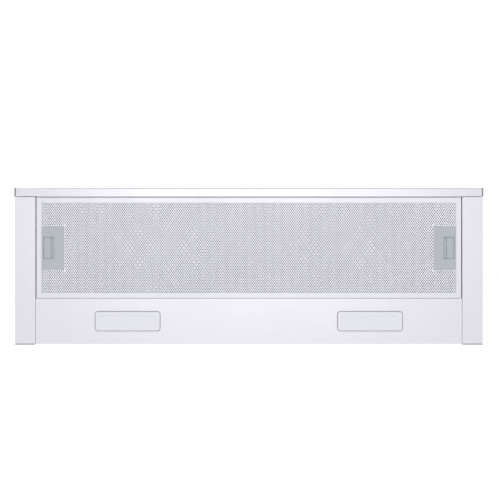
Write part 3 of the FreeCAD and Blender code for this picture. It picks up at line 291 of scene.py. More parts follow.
FINISHES: tuple[Finish, ...] = (
    Finish("body_paint", (0.83, 0.822, 0.852), Grain.POWDER, 0.35, 0.36, 0.04, 0.03),
    Finish("fascia_paint", (0.78, 0.78, 0.808), Grain.POWDER, 0.35, 0.33, 0.04, 0.02, 0.15),
    Finish("cap_plastic", (0.27, 0.275, 0.29), Grain.MOULDED, 0.0, 0.5),
    Finish("filter_aluminium", (0.815, 0.815, 0.865), Grain.ANODISED, 0.3, 0.42, 0.06, 0.04),
    Finish("mesh_aluminium", (0.93, 0.925, 0.975), Grain.ANODISED, 0.45, 0.4, 0.06, 0.04),
    # The core finish is painted shade: its dark colour stands in for the shadow between the
    # filter's aluminium layers.
    Finish("shaded_core_aluminium", (0.27, 0.265, 0.30), Grain.ANODISED, 0.3, 0.5, 0.08, 0.1),
    Finish("latch_plastic", (0.51, 0.54, 0.57), Grain.MOULDED, 0.0, 0.5, 0.05, 0.05),
    Finish("slider_plastic", (0.50, 0.53, 0.56), Grain.MOULDED, 0.0, 0.45, 0.05, 0.05),
    Finish("lens_plastic", (0.875, 0.88, 0.91), Grain.FROSTED, 0.0, 0.3, 0.05, 0.02, 0.1, 0.25),
    # lamp_plastic is made dark so that the joints round the lamp covers show painted shade.
    Finish("lamp_plastic", (0.42, 0.42, 0.43), Grain.MOULDED, 0.0, 0.5),
    Finish("zinc_steel", (0.66, 0.67, 0.69), Grain.SPANGLE, 0.8, 0.38, 0.08, 0.10),
    Finish("screw_steel", (0.58, 0.58, 0.60), Grain.BRUSHED, 0.9, 0.33, 0.06, 0.08),
    Finish("collar_plastic", (0.035, 0.035, 0.038), Grain.MOULDED, 0.0, 0.48, 0.06, 0.2),
    Finish("scroll_plastic", (0.075, 0.078, 0.082), Grain.MOULDED, 0.0, 0.5, 0.06, 0.2),
    Finish("wheel_plastic", (0.22, 0.225, 0.24), Grain.MOULDED, 0.0, 0.45, 0.06, 0.1),
    Finish("motor_steel", (0.46, 0.47, 0.49), Grain.BRUSHED, 0.85, 0.4, 0.08, 0.1),
    Finish("button_plastic", (0.74, 0.75, 0.78), Grain.MOULDED, 0.0, 0.32, 0.04, 0.03, 0.2),
    Finish("bezel_plastic", (0.10, 0.105, 0.11), Grain.MOULDED, 0.0, 0.42, 0.05, 0.1),
    Finish("electric_plastic", (0.70, 0.70, 0.68), Grain.MOULDED, 0.0, 0.45, 0.05, 0.05),
    Finish("board_green", (0.07, 0.26, 0.13), Grain.MOULDED, 0.0, 0.35, 0.05, 0.15, 0.3),
    Finish("rail_steel", (0.68, 0.68, 0.70), Grain.BRUSHED, 0.9, 0.28, 0.08, 0.08),
    Finish("spring_steel", (0.74, 0.74, 0.76), Grain.BRUSHED, 0.6, 0.3, 0.05, 0.06),
)


class PaintShop:
    """Makes each finish once and puts it on pieces."""

    def __init__(self, nodes: dict[str, Object]) -> None:
        """Remembers the CAD nodes and makes every finish.

        Args:
            nodes: The CAD nodes by name.
        """
        self.nodes = nodes
        self.slots = {name: piece.data.materials[0].name for name, piece in nodes.items()}
        self.materials = {finish.name: finish.material() for finish in FINISHES}

    def coat(self, piece: Object, slot: str) -> None:
        """Leaves a piece with one finish all over.

        Args:
            piece: The piece.
            slot: The finish's name.
        """
        piece.data.materials.clear()
        piece.data.materials.append(self.materials[slot])

    def coat_node(self, node: str) -> None:
        """Gives a CAD node that stays in view its own finish."""
        target = self.nodes[node]
        for index in range(len(target.material_slots)):
            target.material_slots[index].material = self.materials[self.slots[node]]


def clear_selection() -> None:
    """Deselects every object."""
    bpy.ops.object.select_all(action="DESELECT")


def choose(piece: Object) -> None:
    """Makes a piece the only selected and the active one."""
    clear_selection()
    piece.select_set(True)
    bpy.context.view_layer.objects.active = piece


@contextmanager
def edit_mode(piece: Object) -> Iterator[None]:
    """Holds a piece in edit mode, with everything in it selected at the start.

    Args:
        piece: The piece to edit.

    Yields:
        Nothing.
    """
    choose(piece)
    bpy.ops.object.mode_set(mode="EDIT")
    bpy.ops.mesh.select_all(action="SELECT")
    try:
        yield
    finally:
        bpy.ops.object.mode_set(mode="OBJECT")


def select_faces(piece: Object, wanted: PairTest) -> None:
    """Selects the faces of a piece in edit mode by centre and normal.

    Args:
        piece: The piece, in edit mode.
        wanted: Called with a face's centre and normal.
    """
    bpy.ops.mesh.select_mode(type="FACE")
    shape = bmesh.from_edit_mesh(piece.data)
    for face in shape.faces:
        face.select_set(wanted(face.calc_center_median(), face.normal))
    bmesh.update_edit_mesh(piece.data)


def select_edges(piece: Object, wanted: PairTest) -> None:
    """Selects the edges of a piece in edit mode by their two ends.

    Args:
        piece: The piece, in edit mode.
        wanted: Called with an edge's two end points.
    """
    bpy.ops.mesh.select_mode(type="EDGE")
    shape = bmesh.from_edit_mesh(piece.data)
    for face in shape.faces:
        face.select_set(False)
    for edge in shape.edges:
        edge.select_set(wanted(edge.verts[0].co, edge.verts[1].co))
    bmesh.update_edit_mesh(piece.data)


def edges_at(**places: float) -> PairTest:
    """Makes a test for the edges that lie at given coordinates.

    Args:
        **places: The coordinates by the name of their axis.

    Returns:
        A test of an edge's two end points.
    """
    return lambda a, b: all(
        abs(getattr(end, axis) - place) < TOUCH
        for end in (a, b)
        for axis, place in places.items()
    )


@dataclass(frozen=True)
class Fold:
    """A fold along chosen outer edges of a sheet-metal piece.

    Attributes:
        width: How far the fold reaches into each side, in metres.
        wanted: Called with an edge's two end points.
        steps: Segments across it: 1 for a creased corner, more for a round.
    """

    width: float
    wanted: PairTest
    steps: int = 4


def fold_edges(piece: Object, fold: Fold) -> None:
    """Gives outer edges of a sheet-metal piece the shape of a real fold.

    Args:
        piece: The piece.
        fold: The fold and its edges.
    """
    with edit_mode(piece):
        select_edges(piece, fold.wanted)
        bpy.ops.mesh.bevel(offset=fold.width, segments=fold.steps, clamp_overlap=True)
        bpy.ops.mesh.select_all(action="SELECT")
        bpy.ops.mesh.remove_doubles(threshold=WELD)


def close_rims() -> None:
    """Bridges the open rims of the piece in edit mode and turns its faces outward."""
    bpy.ops.mesh.select_all(action="DESELECT")
    bpy.ops.mesh.select_mode(type="EDGE")
    bpy.ops.mesh.select_non_manifold(
        use_wire=False, use_multi_face=False, use_non_contiguous=False, use_verts=False
    )
    bpy.ops.mesh.bridge_edge_loops()
    bpy.ops.mesh.select_all(action="SELECT")
    bpy.ops.mesh.normals_make_consistent(inside=False)


def settle(piece: Object) -> None:
    """Puts a piece's place into its mesh, so that the object sits at the origin."""
    choose(piece)
    bpy.ops.object.transform_apply(location=True, rotation=True, scale=True)


def take_up(name: str) -> Object:
    """Names the primitive that was just added and puts its place into its mesh.

    Args:
        name: The piece's name.

    Returns:
        The piece.
    """
    piece = bpy.context.object
    piece.name = piece.data.name = name
    settle(piece)
    return piece


def block(name: str, centre: Vector, size: Vector) -> Object:
    """Adds the box that a piece is shaped from.

    Args:
        name: The piece's name.
        centre: The box's middle.
        size: Its three sides.

    Returns:
        The piece.
    """
    clear_selection()
    bpy.ops.mesh.primitive_cube_add(size=1, location=centre, scale=size)
    return take_up(name)


@contextmanager
def copied(node: Object, name: str, weld: float) -> Iterator[Object]:
    """Copies a CAD node's mesh, merges its triangles and holds the copy in edit mode.

    Args:
        node: The CAD node.
        name: The new piece's name.
        weld: Vertices nearer than this are merged.

    Yields:
        The new piece.
    """
    piece = bpy.data.objects.new(name, node.data.copy())
    bpy.context.scene.collection.objects.link(piece)
    with edit_mode(piece):
        bpy.ops.mesh.customdata_custom_splitnormals_clear()
        bpy.ops.mesh.remove_doubles(threshold=weld)
        yield piece


def join(parts: list[Object], name: str) -> Object:
    """Makes one piece of several.

    Args:
        parts: The parts. The first takes in the rest.
        name: The piece's name.

    Returns:
        The piece.
    """
    piece = parts[0]
    choose(piece)
    for part in parts[1:]:
        part.select_set(True)
    if len(parts) > 1:
        bpy.ops.object.join()
    piece.name = piece.data.name = name
    return piece


def smooth(piece: Object) -> None:
    """Shades a piece smoothly and leaves its corners sharp."""
    choose(piece)
    bpy.ops.object.shade_smooth_by_angle(angle=SMOOTH_ANGLE)


def round_edges(piece: Object, radius: float, steps: int = 2, corner: float = 35.0) -> None:
    """Rounds a piece's sharp edges and evens its shading.

    Args:
        piece: The piece.
        radius: Width of the rounding, in metres.
        steps: Segments across it.
        corner: Smallest angle in degrees that counts as an edge.
    """
    choose(piece)
    bevel = piece.modifiers.new("edge_round", "BEVEL")
    bevel.width = radius
    bevel.segments = steps
    bevel.limit_method = "ANGLE"
    bevel.angle_limit = math.radians(corner)
    bevel.use_clamp_overlap = True
    bpy.ops.object.modifier_apply(modifier=bevel.name)
    smooth(piece)
    even = piece.modifiers.new("even_shading", "WEIGHTED_NORMAL")
    even.keep_sharp = True
    even.weight = 80
    bpy.ops.object.modifier_apply(modifier=even.name)


@dataclass
class SubAssembly:
    """What every sub-assembly of the hood shares.

    Attributes:
        shop: Where the finishes are.
        made: The pieces built so far.
    """

    shop: PaintShop
    made: list[Object] = field(default_factory=list)

    def build(self) -> None:
        """Builds and dresses the sub-assembly's pieces."""
        raise NotImplementedError

    def carry(self, *nodes: str) -> None:
        """Keeps CAD nodes in view and gives them their finishes.

        Args:
            *nodes: The nodes' names.
        """
        for node in nodes:
            self.shop.coat_node(node)
            LOG.info("kept %s in %s", node, self.shop.slots[node])

    def fit(
        self,
        piece: Object,
        body: str,
        slot: str,
        nodes: Iterable[str] = (),
        finish: str | None = None,
    ) -> None:
        """Dresses a finished piece and joins it to its body.

        Args:
            piece: The piece, in place.
            body: The CAD body that it rides on.
            slot: Its material slot in the record.
            nodes: The CAD nodes that it stands for.
            finish: The finish, where it isn't the slot's own.
        """
        settle(piece)
        self.shop.coat(piece, finish or slot)
        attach(piece, body)
        for node in nodes:
            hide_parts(node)
        self.made.append(piece)
        LOG.info("made %s on %s: %d faces", piece.name, body, len(piece.data.polygons))

    def pressed(
        self, node: str, radius: float, steps: int = 2, folds: Iterable[Fold] = ()
    ) -> None:
        """Makes a piece with rounded edges from a CAD node's own shape.

        Args:
            node: The CAD node.
            radius: Width of the rounding, in metres.
            steps: Segments across the rounding.
            folds: The larger folds, in the order in which they are made.
        """
        source = self.shop.nodes[node]
        with copied(source, node + "_rounded", WELD) as piece:
            bpy.ops.mesh.dissolve_limited(angle_limit=FLAT_ANGLE)
            bpy.ops.mesh.select_all(action="SELECT")
            bpy.ops.mesh.normals_make_consistent(inside=False)
        for fold in folds:
            fold_edges(piece, fold)
        round_edges(piece, radius, steps)
        self.fit(piece, source["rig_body"], self.shop.slots[node], (node,))


@dataclass
class ExpandedSheet:
    """A sheet of slit and stretched aluminium, with diamond openings between thin ridged strands.

    Attributes:
        name: The piece's name.
        low: The sheet's lowest corner.
        high: Its highest corner.
        across: Rough width of a diamond, along X.
        along: Rough length of a diamond, along Y.
        strand: Width of a strand.
        notches: Rectangles that are cut out, each as its lowest and highest X and Y.
        bevel: Share of the thickness that the lower slopes take.
    """

    name: str
    low: Vector
    high: Vector
    across: float
    along: float
    strand: float
    notches: tuple[tuple[float, float, float, float], ...] = ()
    bevel: float = 0.15

    def build(self) -> Object:
        """Makes the sheet.

        Returns:
            The sheet, in place.
        """
        size, centre = self.high - self.low, (self.high + self.low) / 2
        columns, rows = round(size.x / self.across), round(size.y / self.along)
        cells = columns + rows + 2
        clear_selection()
        bpy.ops.mesh.primitive_grid_add(
            x_subdivisions=cells,
            y_subdivisions=cells,
            size=cells / math.sqrt(2),
            rotation=(0, 0, math.pi / 4),
        )
        sheet = bpy.context.object
        sheet.name = sheet.data.name = self.name
        bpy.ops.object.transform_apply(rotation=True)
        sheet.scale = (size.x / columns, size.y / rows, 1)
        sheet.location = (centre.x, centre.y, self.low.z)
        bpy.ops.object.transform_apply(location=True, rotation=False, scale=True)
        with edit_mode(sheet):
            self._trim()
            for notch in self.notches:
                self._notch(sheet, notch)
            self._open(size.z * self.bevel)
            self._close(Vector((centre.x, centre.y, self.low.z + size.z * self.bevel)))
        return sheet

    def _trim(self) -> None:
        """Cuts the slit sheet to its four edges."""
        for corner, normal in (
            (self.low, (-1, 0, 0)),
            (self.low, (0, -1, 0)),
            (self.high, (1, 0, 0)),
            (self.high, (0, 1, 0)),
        ):
            bpy.ops.mesh.select_all(action="SELECT")
            bpy.ops.mesh.bisect(plane_co=corner, plane_no=normal, clear_outer=True)
        bpy.ops.mesh.select_all(action="SELECT")
        bpy.ops.mesh.remove_doubles(threshold=SHEET_WELD)

    def _notch(self, sheet: Object, notch: tuple[float, float, float, float]) -> None:
        """Cuts one rectangle out of the slit sheet.

        Args:
            sheet: The sheet, in edit mode.
            notch: Its lowest and highest X, and lowest and highest Y.
        """
        left, right, front, rear = notch
        cuts = [((0, y, 0), (0, 1, 0)) for y in (front, rear)]
        cuts += [
            ((x, 0, 0), (1, 0, 0)) for x in (left, right) if self.low.x < x < self.high.x
        ]
        for place, normal in cuts:
            select_faces(
                sheet,
                lambda middle, _: left - self.across < middle.x < right + self.across
                and front - self.along < middle.y < rear + self.along,
            )
            bpy.ops.mesh.bisect(plane_co=place, plane_no=normal)
        select_faces(
            sheet,
            lambda middle, _: left < middle.x < right and front < middle.y < rear,
        )
        bpy.ops.mesh.delete(type="FACE")
        bpy.ops.mesh.select_all(action="SELECT")
        bpy.ops.mesh.remove_doubles(threshold=SHEET_WELD)

    def _open(self, rise: float) -> None:
        """Opens the diamonds and slopes each strand up to its edges.

        Args:
            rise: Height from a strand's ridge to its edge.
        """
        bpy.ops.mesh.select_all(action="SELECT")
        bpy.ops.mesh.inset(
            use_individual=True, thickness=self.strand / 2, depth=rise, use_even_offset=True
        )
        bpy.ops.mesh.delete(type="FACE")
        bpy.ops.mesh.select_all(action="SELECT")
        bpy.ops.mesh.flip_normals()

    def _close(self, centre: Vector) -> None:
        """Adds the strands' upper sides and closes the sheet's outer edge.

        Args:
            centre: The sheet's middle, at the height of the strands' edges.
        """
        bpy.ops.mesh.select_all(action="SELECT")
        bpy.ops.mesh.duplicate()
        above = (1 - self.bevel) / self.bevel
        bpy.ops.transform.resize(value=(1, 1, -above), center_override=centre)
        bpy.ops.mesh.select_all(action="SELECT")
        bpy.ops.mesh.remove_doubles(threshold=TOUCH)
        close_rims()


@dataclass
class GreaseFilter(SubAssembly):
    """The long filter cassette: its channel frame and five layers of expanded aluminium.

    Attributes:
        across: Width of a diamond of the outer sheets.
        along: Length of a diamond.
        strand: Width of a strand.
        upper_stretch: How much coarser the uppermost sheet is than the lowest.
        core_stretch: How much coarser each core sheet is.
        core_sheet: Thickness of a core sheet.
        notch_gap: Room between a latch plate and the sheets.
        frame_round: Round of the frame's edges.
    """

    across: float = 4.3 * MM
    along: float = 5.86 * MM
    strand: float = 1.3 * MM
    upper_stretch: float = 1.6
    core_stretch: tuple[float, float, float] = (1.79, 2.31, 2.13)
    core_sheet: float = 0.5 * MM
    notch_gap: float = 0.1 * MM
    frame_round: float = 0.35 * MM

    def build(self) -> None:
        """Builds the frame's rounded channel and each sheet."""
        self.pressed("filter_frame", self.frame_round)
        for level, stretch in (("lower", 1.0), ("upper", self.upper_stretch)):
            node = f"filter_mesh_{level}"
            sheet = self._layer(f"filter_sheet_{level}", *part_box(node), stretch)
            self.fit(sheet, "filter", "filter_aluminium", (node,), "mesh_aluminium")
        self._core()

    def _layer(self, name: str, low: Vector, high: Vector, stretch: float) -> Object:
        """Makes one sheet with room for the two latch plates.

        Args:
            name: The piece's name.
            low: Its lowest corner.
            high: Its highest corner.
            stretch: How much coarser it is than the lowest sheet.

        Returns:
            The sheet, not yet dressed.
        """
        gap = self.notch_gap
        notches = []
        for side in SIDES:
            near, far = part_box(f"latch_plate_{side}")
            notches.append((near.x - gap, far.x + gap, near.y - gap, far.y + gap))
        return ExpandedSheet(
            name,
            low,
            high,
            self.across * stretch,
            self.along * stretch,
            self.strand * stretch,
            tuple(notches),
        ).build()

    def _core(self) -> None:
        """Makes the three inner sheets as one piece, in a dark finish that paints the shade between
        the filter's layers.
        """
        low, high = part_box("filter_mesh_core")
        pitch = (high.z - low.z - self.core_sheet) / (len(self.core_stretch) - 1)
        sheets = []
        for level, stretch in enumerate(self.core_stretch):
            bottom = low.z + level * pitch
            near = Vector((low.x, low.y, bottom))
            far = Vector((high.x, high.y, bottom + self.core_sheet))
            sheets.append(self._layer(f"core_layer_{level}", near, far, stretch))
        core = join(sheets, "filter_sheets_core")
        self.fit(core, "filter", "filter_aluminium", ("filter_mesh_core",), "shaded_core_aluminium")


@dataclass
class Latches(SubAssembly):
    """The two latch plates with their finger pockets, sliders, springs and dust bellows.

    Attributes:
        travel: How far a slider moves; not used.
        room: Width of the pocket that a slider leaves free at rest.
        reach: Length of the bellows along Y.
        sink: From a slider's face up to the bellows.
        pleats: How many pleats the bellows has.
        pleat_rise: Height of a pleat.
        skin: Thickness of the bellows.
        clearance: Room left at each end of the bellows.
        plate_round: Round of a plate's edges.
        slider_round: Round of a slider's.
        pleat_round: Round of a pleat.
    """

    travel: float = 6.0 * MM
    room: float = 6.8 * MM
    reach: float = 41.4 * MM
    sink: float = 1.2 * MM
    pleats: int = 2
    pleat_rise: float = 0.7 * MM
    skin: float = 0.3 * MM
    clearance: float = 0.1 * MM
    plate_round: float = 0.45 * MM
    slider_round: float = 0.5 * MM
    pleat_round: float = 0.1 * MM

    def build(self) -> None:
        """Rounds the plates and sliders and makes what gives way behind the sliders."""
        for side in SIDES:
            self.pressed(f"latch_plate_{side}", self.plate_round)
            self.pressed(f"latch_slider_{side}", self.slider_round)
            self._spring(side)
            self._bellows(side)

    def _spring(self, side: str) -> None:
        """Makes the coil spring as one rigid piece from its CAD node.

        Args:
            side: Which latch.
        """
        node = f"latch_spring_{side}"
        with copied(self.shop.nodes[node], f"spring_coil_{side}", SPRING_WELD) as coil:
            pass
        smooth(coil)
        self.fit(coil, "filter", self.shop.slots[node], (node,))
        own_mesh(coil)

    def _bellows(self, side: str) -> None:
        """Makes the pleated cover that closes the pocket behind the slider.

        Args:
            side: Which latch.
        """
        low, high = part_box(f"latch_slider_{side}")
        inward, start = (1.0, high.x) if side == "left" else (-1.0, low.x)
        length = self.room - 2 * self.clearance
        middle = Vector(
            (start + inward * self.room / 2, (low.y + high.y) / 2, low.z + self.sink)
        )
        span = length - self.skin
        clear_selection()
        bpy.ops.mesh.primitive_grid_add(
            x_subdivisions=2 * self.pleats, y_subdivisions=1, size=1, location=middle
        )
        bpy.context.object.scale = (span, self.reach, 1)
        bellows = take_up(f"pocket_bellows_{side}")
        pitch = span / (2 * self.pleats)
        first = middle.x - span / 2
        with edit_mode(bellows):
            select_edges(
                bellows,
                lambda a, b: abs(a.x - b.x) < TOUCH and round((a.x - first) / pitch) % 2 == 1,
            )
            bpy.ops.transform.translate(value=(0, 0, self.pleat_rise))
        wall = bellows.modifiers.new("wall", "SOLIDIFY")
        wall.thickness = self.skin
        wall.offset = 0.0
        bpy.ops.object.modifier_apply(modifier=wall.name)
        round_edges(bellows, self.pleat_round, corner=20.0)
        self.fit(bellows, "filter", self.shop.slots[f"latch_plate_{side}"])
        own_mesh(bellows)


@dataclass
class Lamps(SubAssembly):
    """The two lamp covers with their gaskets, housings and LED boards; gaskets and housings are
    dark to paint the joints' shade.

    Attributes:
        joint: Width of the joint round a cover.
        corner: Radius of a cover's corners.
        slack: Room on both sides of the gasket.
        lip: How far the gasket's lip reaches over the cover's edge.
        lip_height: The lip's thickness.
        gasket_depth: From the panel's underside up to the gasket's end.
        cover_round: Round of a cover's edges.
        gasket_round: Round of a gasket's.
    """

    joint: float = 0.5 * MM
    corner: float = 5.5 * MM
    slack: float = 0.02 * MM
    lip: float = 0.2 * MM
    lip_height: float = 0.2 * MM
    gasket_depth: float = 1.0 * MM
    cover_round: float = 0.5 * MM
    gasket_round: float = 0.06 * MM

    def build(self) -> None:
        """Rounds the covers, makes their gaskets and keeps what is behind them."""
        for side in SIDES:
            self.pressed(f"lamp_cover_{side}", self.cover_round, steps=3)
            self._gasket(side)
            # The housings' dark finish paints the shade seen through the joints round the covers.
            self.carry(f"lamp_housing_{side}")
        self.carry("led_boards")

    def _gasket(self, side: str) -> None:
        """Makes the dark gasket in the joint between a cover and the panel, partly a real gasket
        and partly painted shade that darkens the joint.

        Args:
            side: Which lamp.
        """
        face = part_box(f"lamp_cover_{side}")[0].z - TOUCH
        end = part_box("lamp_panel")[0].z + self.gasket_depth
        web = self._ring(side, self.slack, face, end)
        lip = self._ring(side, -self.lip, face - self.lip_height, face)
        gasket = join([web, lip], f"lamp_gasket_{side}")
        round_edges(gasket, self.gasket_round)
        # The gasket's near-black finish is partly painted shade: it darkens the joint like a shadow
        # gap.
        self.fit(gasket, "root", "scroll_plastic")

    def _ring(self, side: str, inset: float, bottom: float, top: float) -> Object:
        """Makes a ring with rounded corners that fills the joint's width.

        Args:
            side: Which lamp.
            inset: From the cover's outline out to the ring's inner side.
            bottom: Height of its underside.
            top: Height of its upper side.

        Returns:
            The ring, not yet dressed.
        """
        low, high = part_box(f"lamp_cover_{side}")
        reach = self.joint - self.slack
        ring = block(
            "gasket_ring",
            Vector(((low.x + high.x) / 2, (low.y + high.y) / 2, (bottom + top) / 2)),
            Vector((high.x - low.x + 2 * reach, high.y - low.y + 2 * reach, top - bottom)),
        )
        with edit_mode(ring):
            select_edges(ring, lambda a, b: abs(a.z - b.z) > TOUCH)
            bpy.ops.mesh.bevel(offset=self.corner + self.joint, segments=10)
            select_faces(ring, lambda _, normal: abs(normal.z) > FACING)
            bpy.ops.mesh.inset(thickness=reach - inset)
            bpy.ops.mesh.delete(type="FACE")
            close_rims()
        return ring


@dataclass
class Body(SubAssembly):
    """The fixed sheet metal: tray, side covers, lamp panel and the tray's inner filter.

    Attributes:
        edge: Round of a cut edge.
        fold: Outer radius of a folded edge.
        rear_fold: Width of the creased corner at the side covers' rear ends.
        shade_bead_radius: Radius of the dark bead in that corner, which paints the shadow line at
            the rear end.
        shade_bead_end: Round of the bead's ends, as a share of its radius.
        channel_round: Round of the inner filter frame's edges.
        across: Width of a diamond of the inner filter.
        along: Length of one.
        strand: Width of its strands.
    """

    edge: float = 0.25 * MM
    fold: float = 1.1 * MM
    rear_fold: float = 2.0 * MM
    shade_bead_radius: float = 0.6 * MM
    shade_bead_end: float = 0.7
    channel_round: float = 0.4 * MM
    across: float = 6.4 * MM
    along: float = 8.6 * MM
    strand: float = 2.0 * MM

    def build(self) -> None:
        """Rounds the sheets' folds and makes the inner filter's mesh."""
        for side in SIDES:
            low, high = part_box(f"side_cover_{side}")
            outer = low.x if side == "left" else high.x
            self.pressed(
                f"side_cover_{side}",
                self.edge,
                folds=(
                    Fold(self.rear_fold, edges_at(z=low.z, y=high.y), steps=1),
                    Fold(self.fold, edges_at(z=low.z, x=outer)),
                ),
            )
            self._rear_shade_bead(side)
        self.pressed("lamp_panel", self.edge)
        self.pressed("tray_shell", self.edge)
        self.pressed("inner_filter_frame", self.channel_round)
        node = "inner_filter_mesh"
        sheet = ExpandedSheet(
            "inner_filter_sheet", *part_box(node), self.across, self.along, self.strand
        )
        self.fit(sheet.build(), "root", "filter_aluminium", (node,), "mesh_aluminium")
        self.carry("body_screws")

    def _rear_shade_bead(self, side: str) -> None:
        """Makes the dark bead along a side cover's rear corner, which paints the shadow line at its
        rear end.

        Args:
            side: Which side cover.
        """
        low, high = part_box(f"side_cover_{side}")
        radius = self.shade_bead_radius
        clear_selection()
        bpy.ops.mesh.primitive_cylinder_add(
            vertices=16,
            radius=radius,
            depth=high.x - low.x - 2 * radius,
            location=((low.x + high.x) / 2, high.y - radius, low.z + radius),
            rotation=(0, math.pi / 2, 0),
        )
        bead = take_up(f"wall_seal_{side}")
        with edit_mode(bead):
            select_faces(bead, lambda _, normal: abs(normal.x) > FACING)
            bpy.ops.mesh.bevel(offset=self.shade_bead_end * radius, segments=4)
        smooth(bead)
        # The bead's dark plastic is painted shade: it stands in for the shadow line at the cover's
        # rear end.
        self.fit(bead, "root", "cap_plastic")


@dataclass
class Drawer(SubAssembly):
    """The drawer: fascia with its end caps, frame, top panel and runners.

    Attributes:
        seal_gap: Room between the seal strip and the filter.
        seal_sink: How far the strip lies above the filter's underside.
        seal_height: Its height.
        seal_nose: Round of its lower edges, as a share of its depth.
        seal_round: Round of its other edges.
        face_round: Round of the fascia's and its caps' edges.
        frame_round: Round of the frame's and the top panel's.
    """

    seal_gap: float = 0.5 * MM
    seal_sink: float = 0.6 * MM
    seal_height: float = 7.0 * MM
    seal_nose: float = 0.45
    seal_round: float = 0.15 * MM
    face_round: float = 0.5 * MM
    frame_round: float = 0.4 * MM

    def build(self) -> None:
        """Rounds what shows and keeps the runners."""
        self.pressed("fascia", self.face_round)
        self._seal()
        for side in SIDES:
            self.pressed(f"fascia_cap_{side}", self.face_round)
            self.carry(f"outer_rail_{side}", f"inner_rail_{side}", f"ball_cage_{side}")
        self.pressed("drawer_frame", self.frame_round)
        self.pressed("drawer_top_panel", self.frame_round)
        self.carry("fascia_screws", "drawer_switch", "switch_lever")

    def _seal(self) -> None:
        """Makes the pale strip that closes the joint between the fascia and the filter."""
        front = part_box("fascia")[1].y
        low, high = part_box("filter_frame")
        depth = low.y - self.seal_gap - front
        bottom = low.z + self.seal_sink
        strip = block(
            "fascia_seal_strip",
            Vector((0, front + depth / 2, bottom + self.seal_height / 2)),
            Vector((high.x - low.x, depth, self.seal_height)),
        )
        at_bottom = edges_at(z=bottom)
        fold_edges(
            strip,
            Fold(
                depth * self.seal_nose,
                lambda a, b: at_bottom(a, b) and abs(a.y - b.y) < TOUCH,
            ),
        )
        round_edges(strip, self.seal_round)
        self.fit(strip, "drawer", "fascia_paint")


class Mark(Enum):
    """The small moulded mark on a push button."""

    RING = "off"
    ONE = "speed_1"
    TWO = "speed_2"
    THREE = "speed_3"
    RAYS = "light"


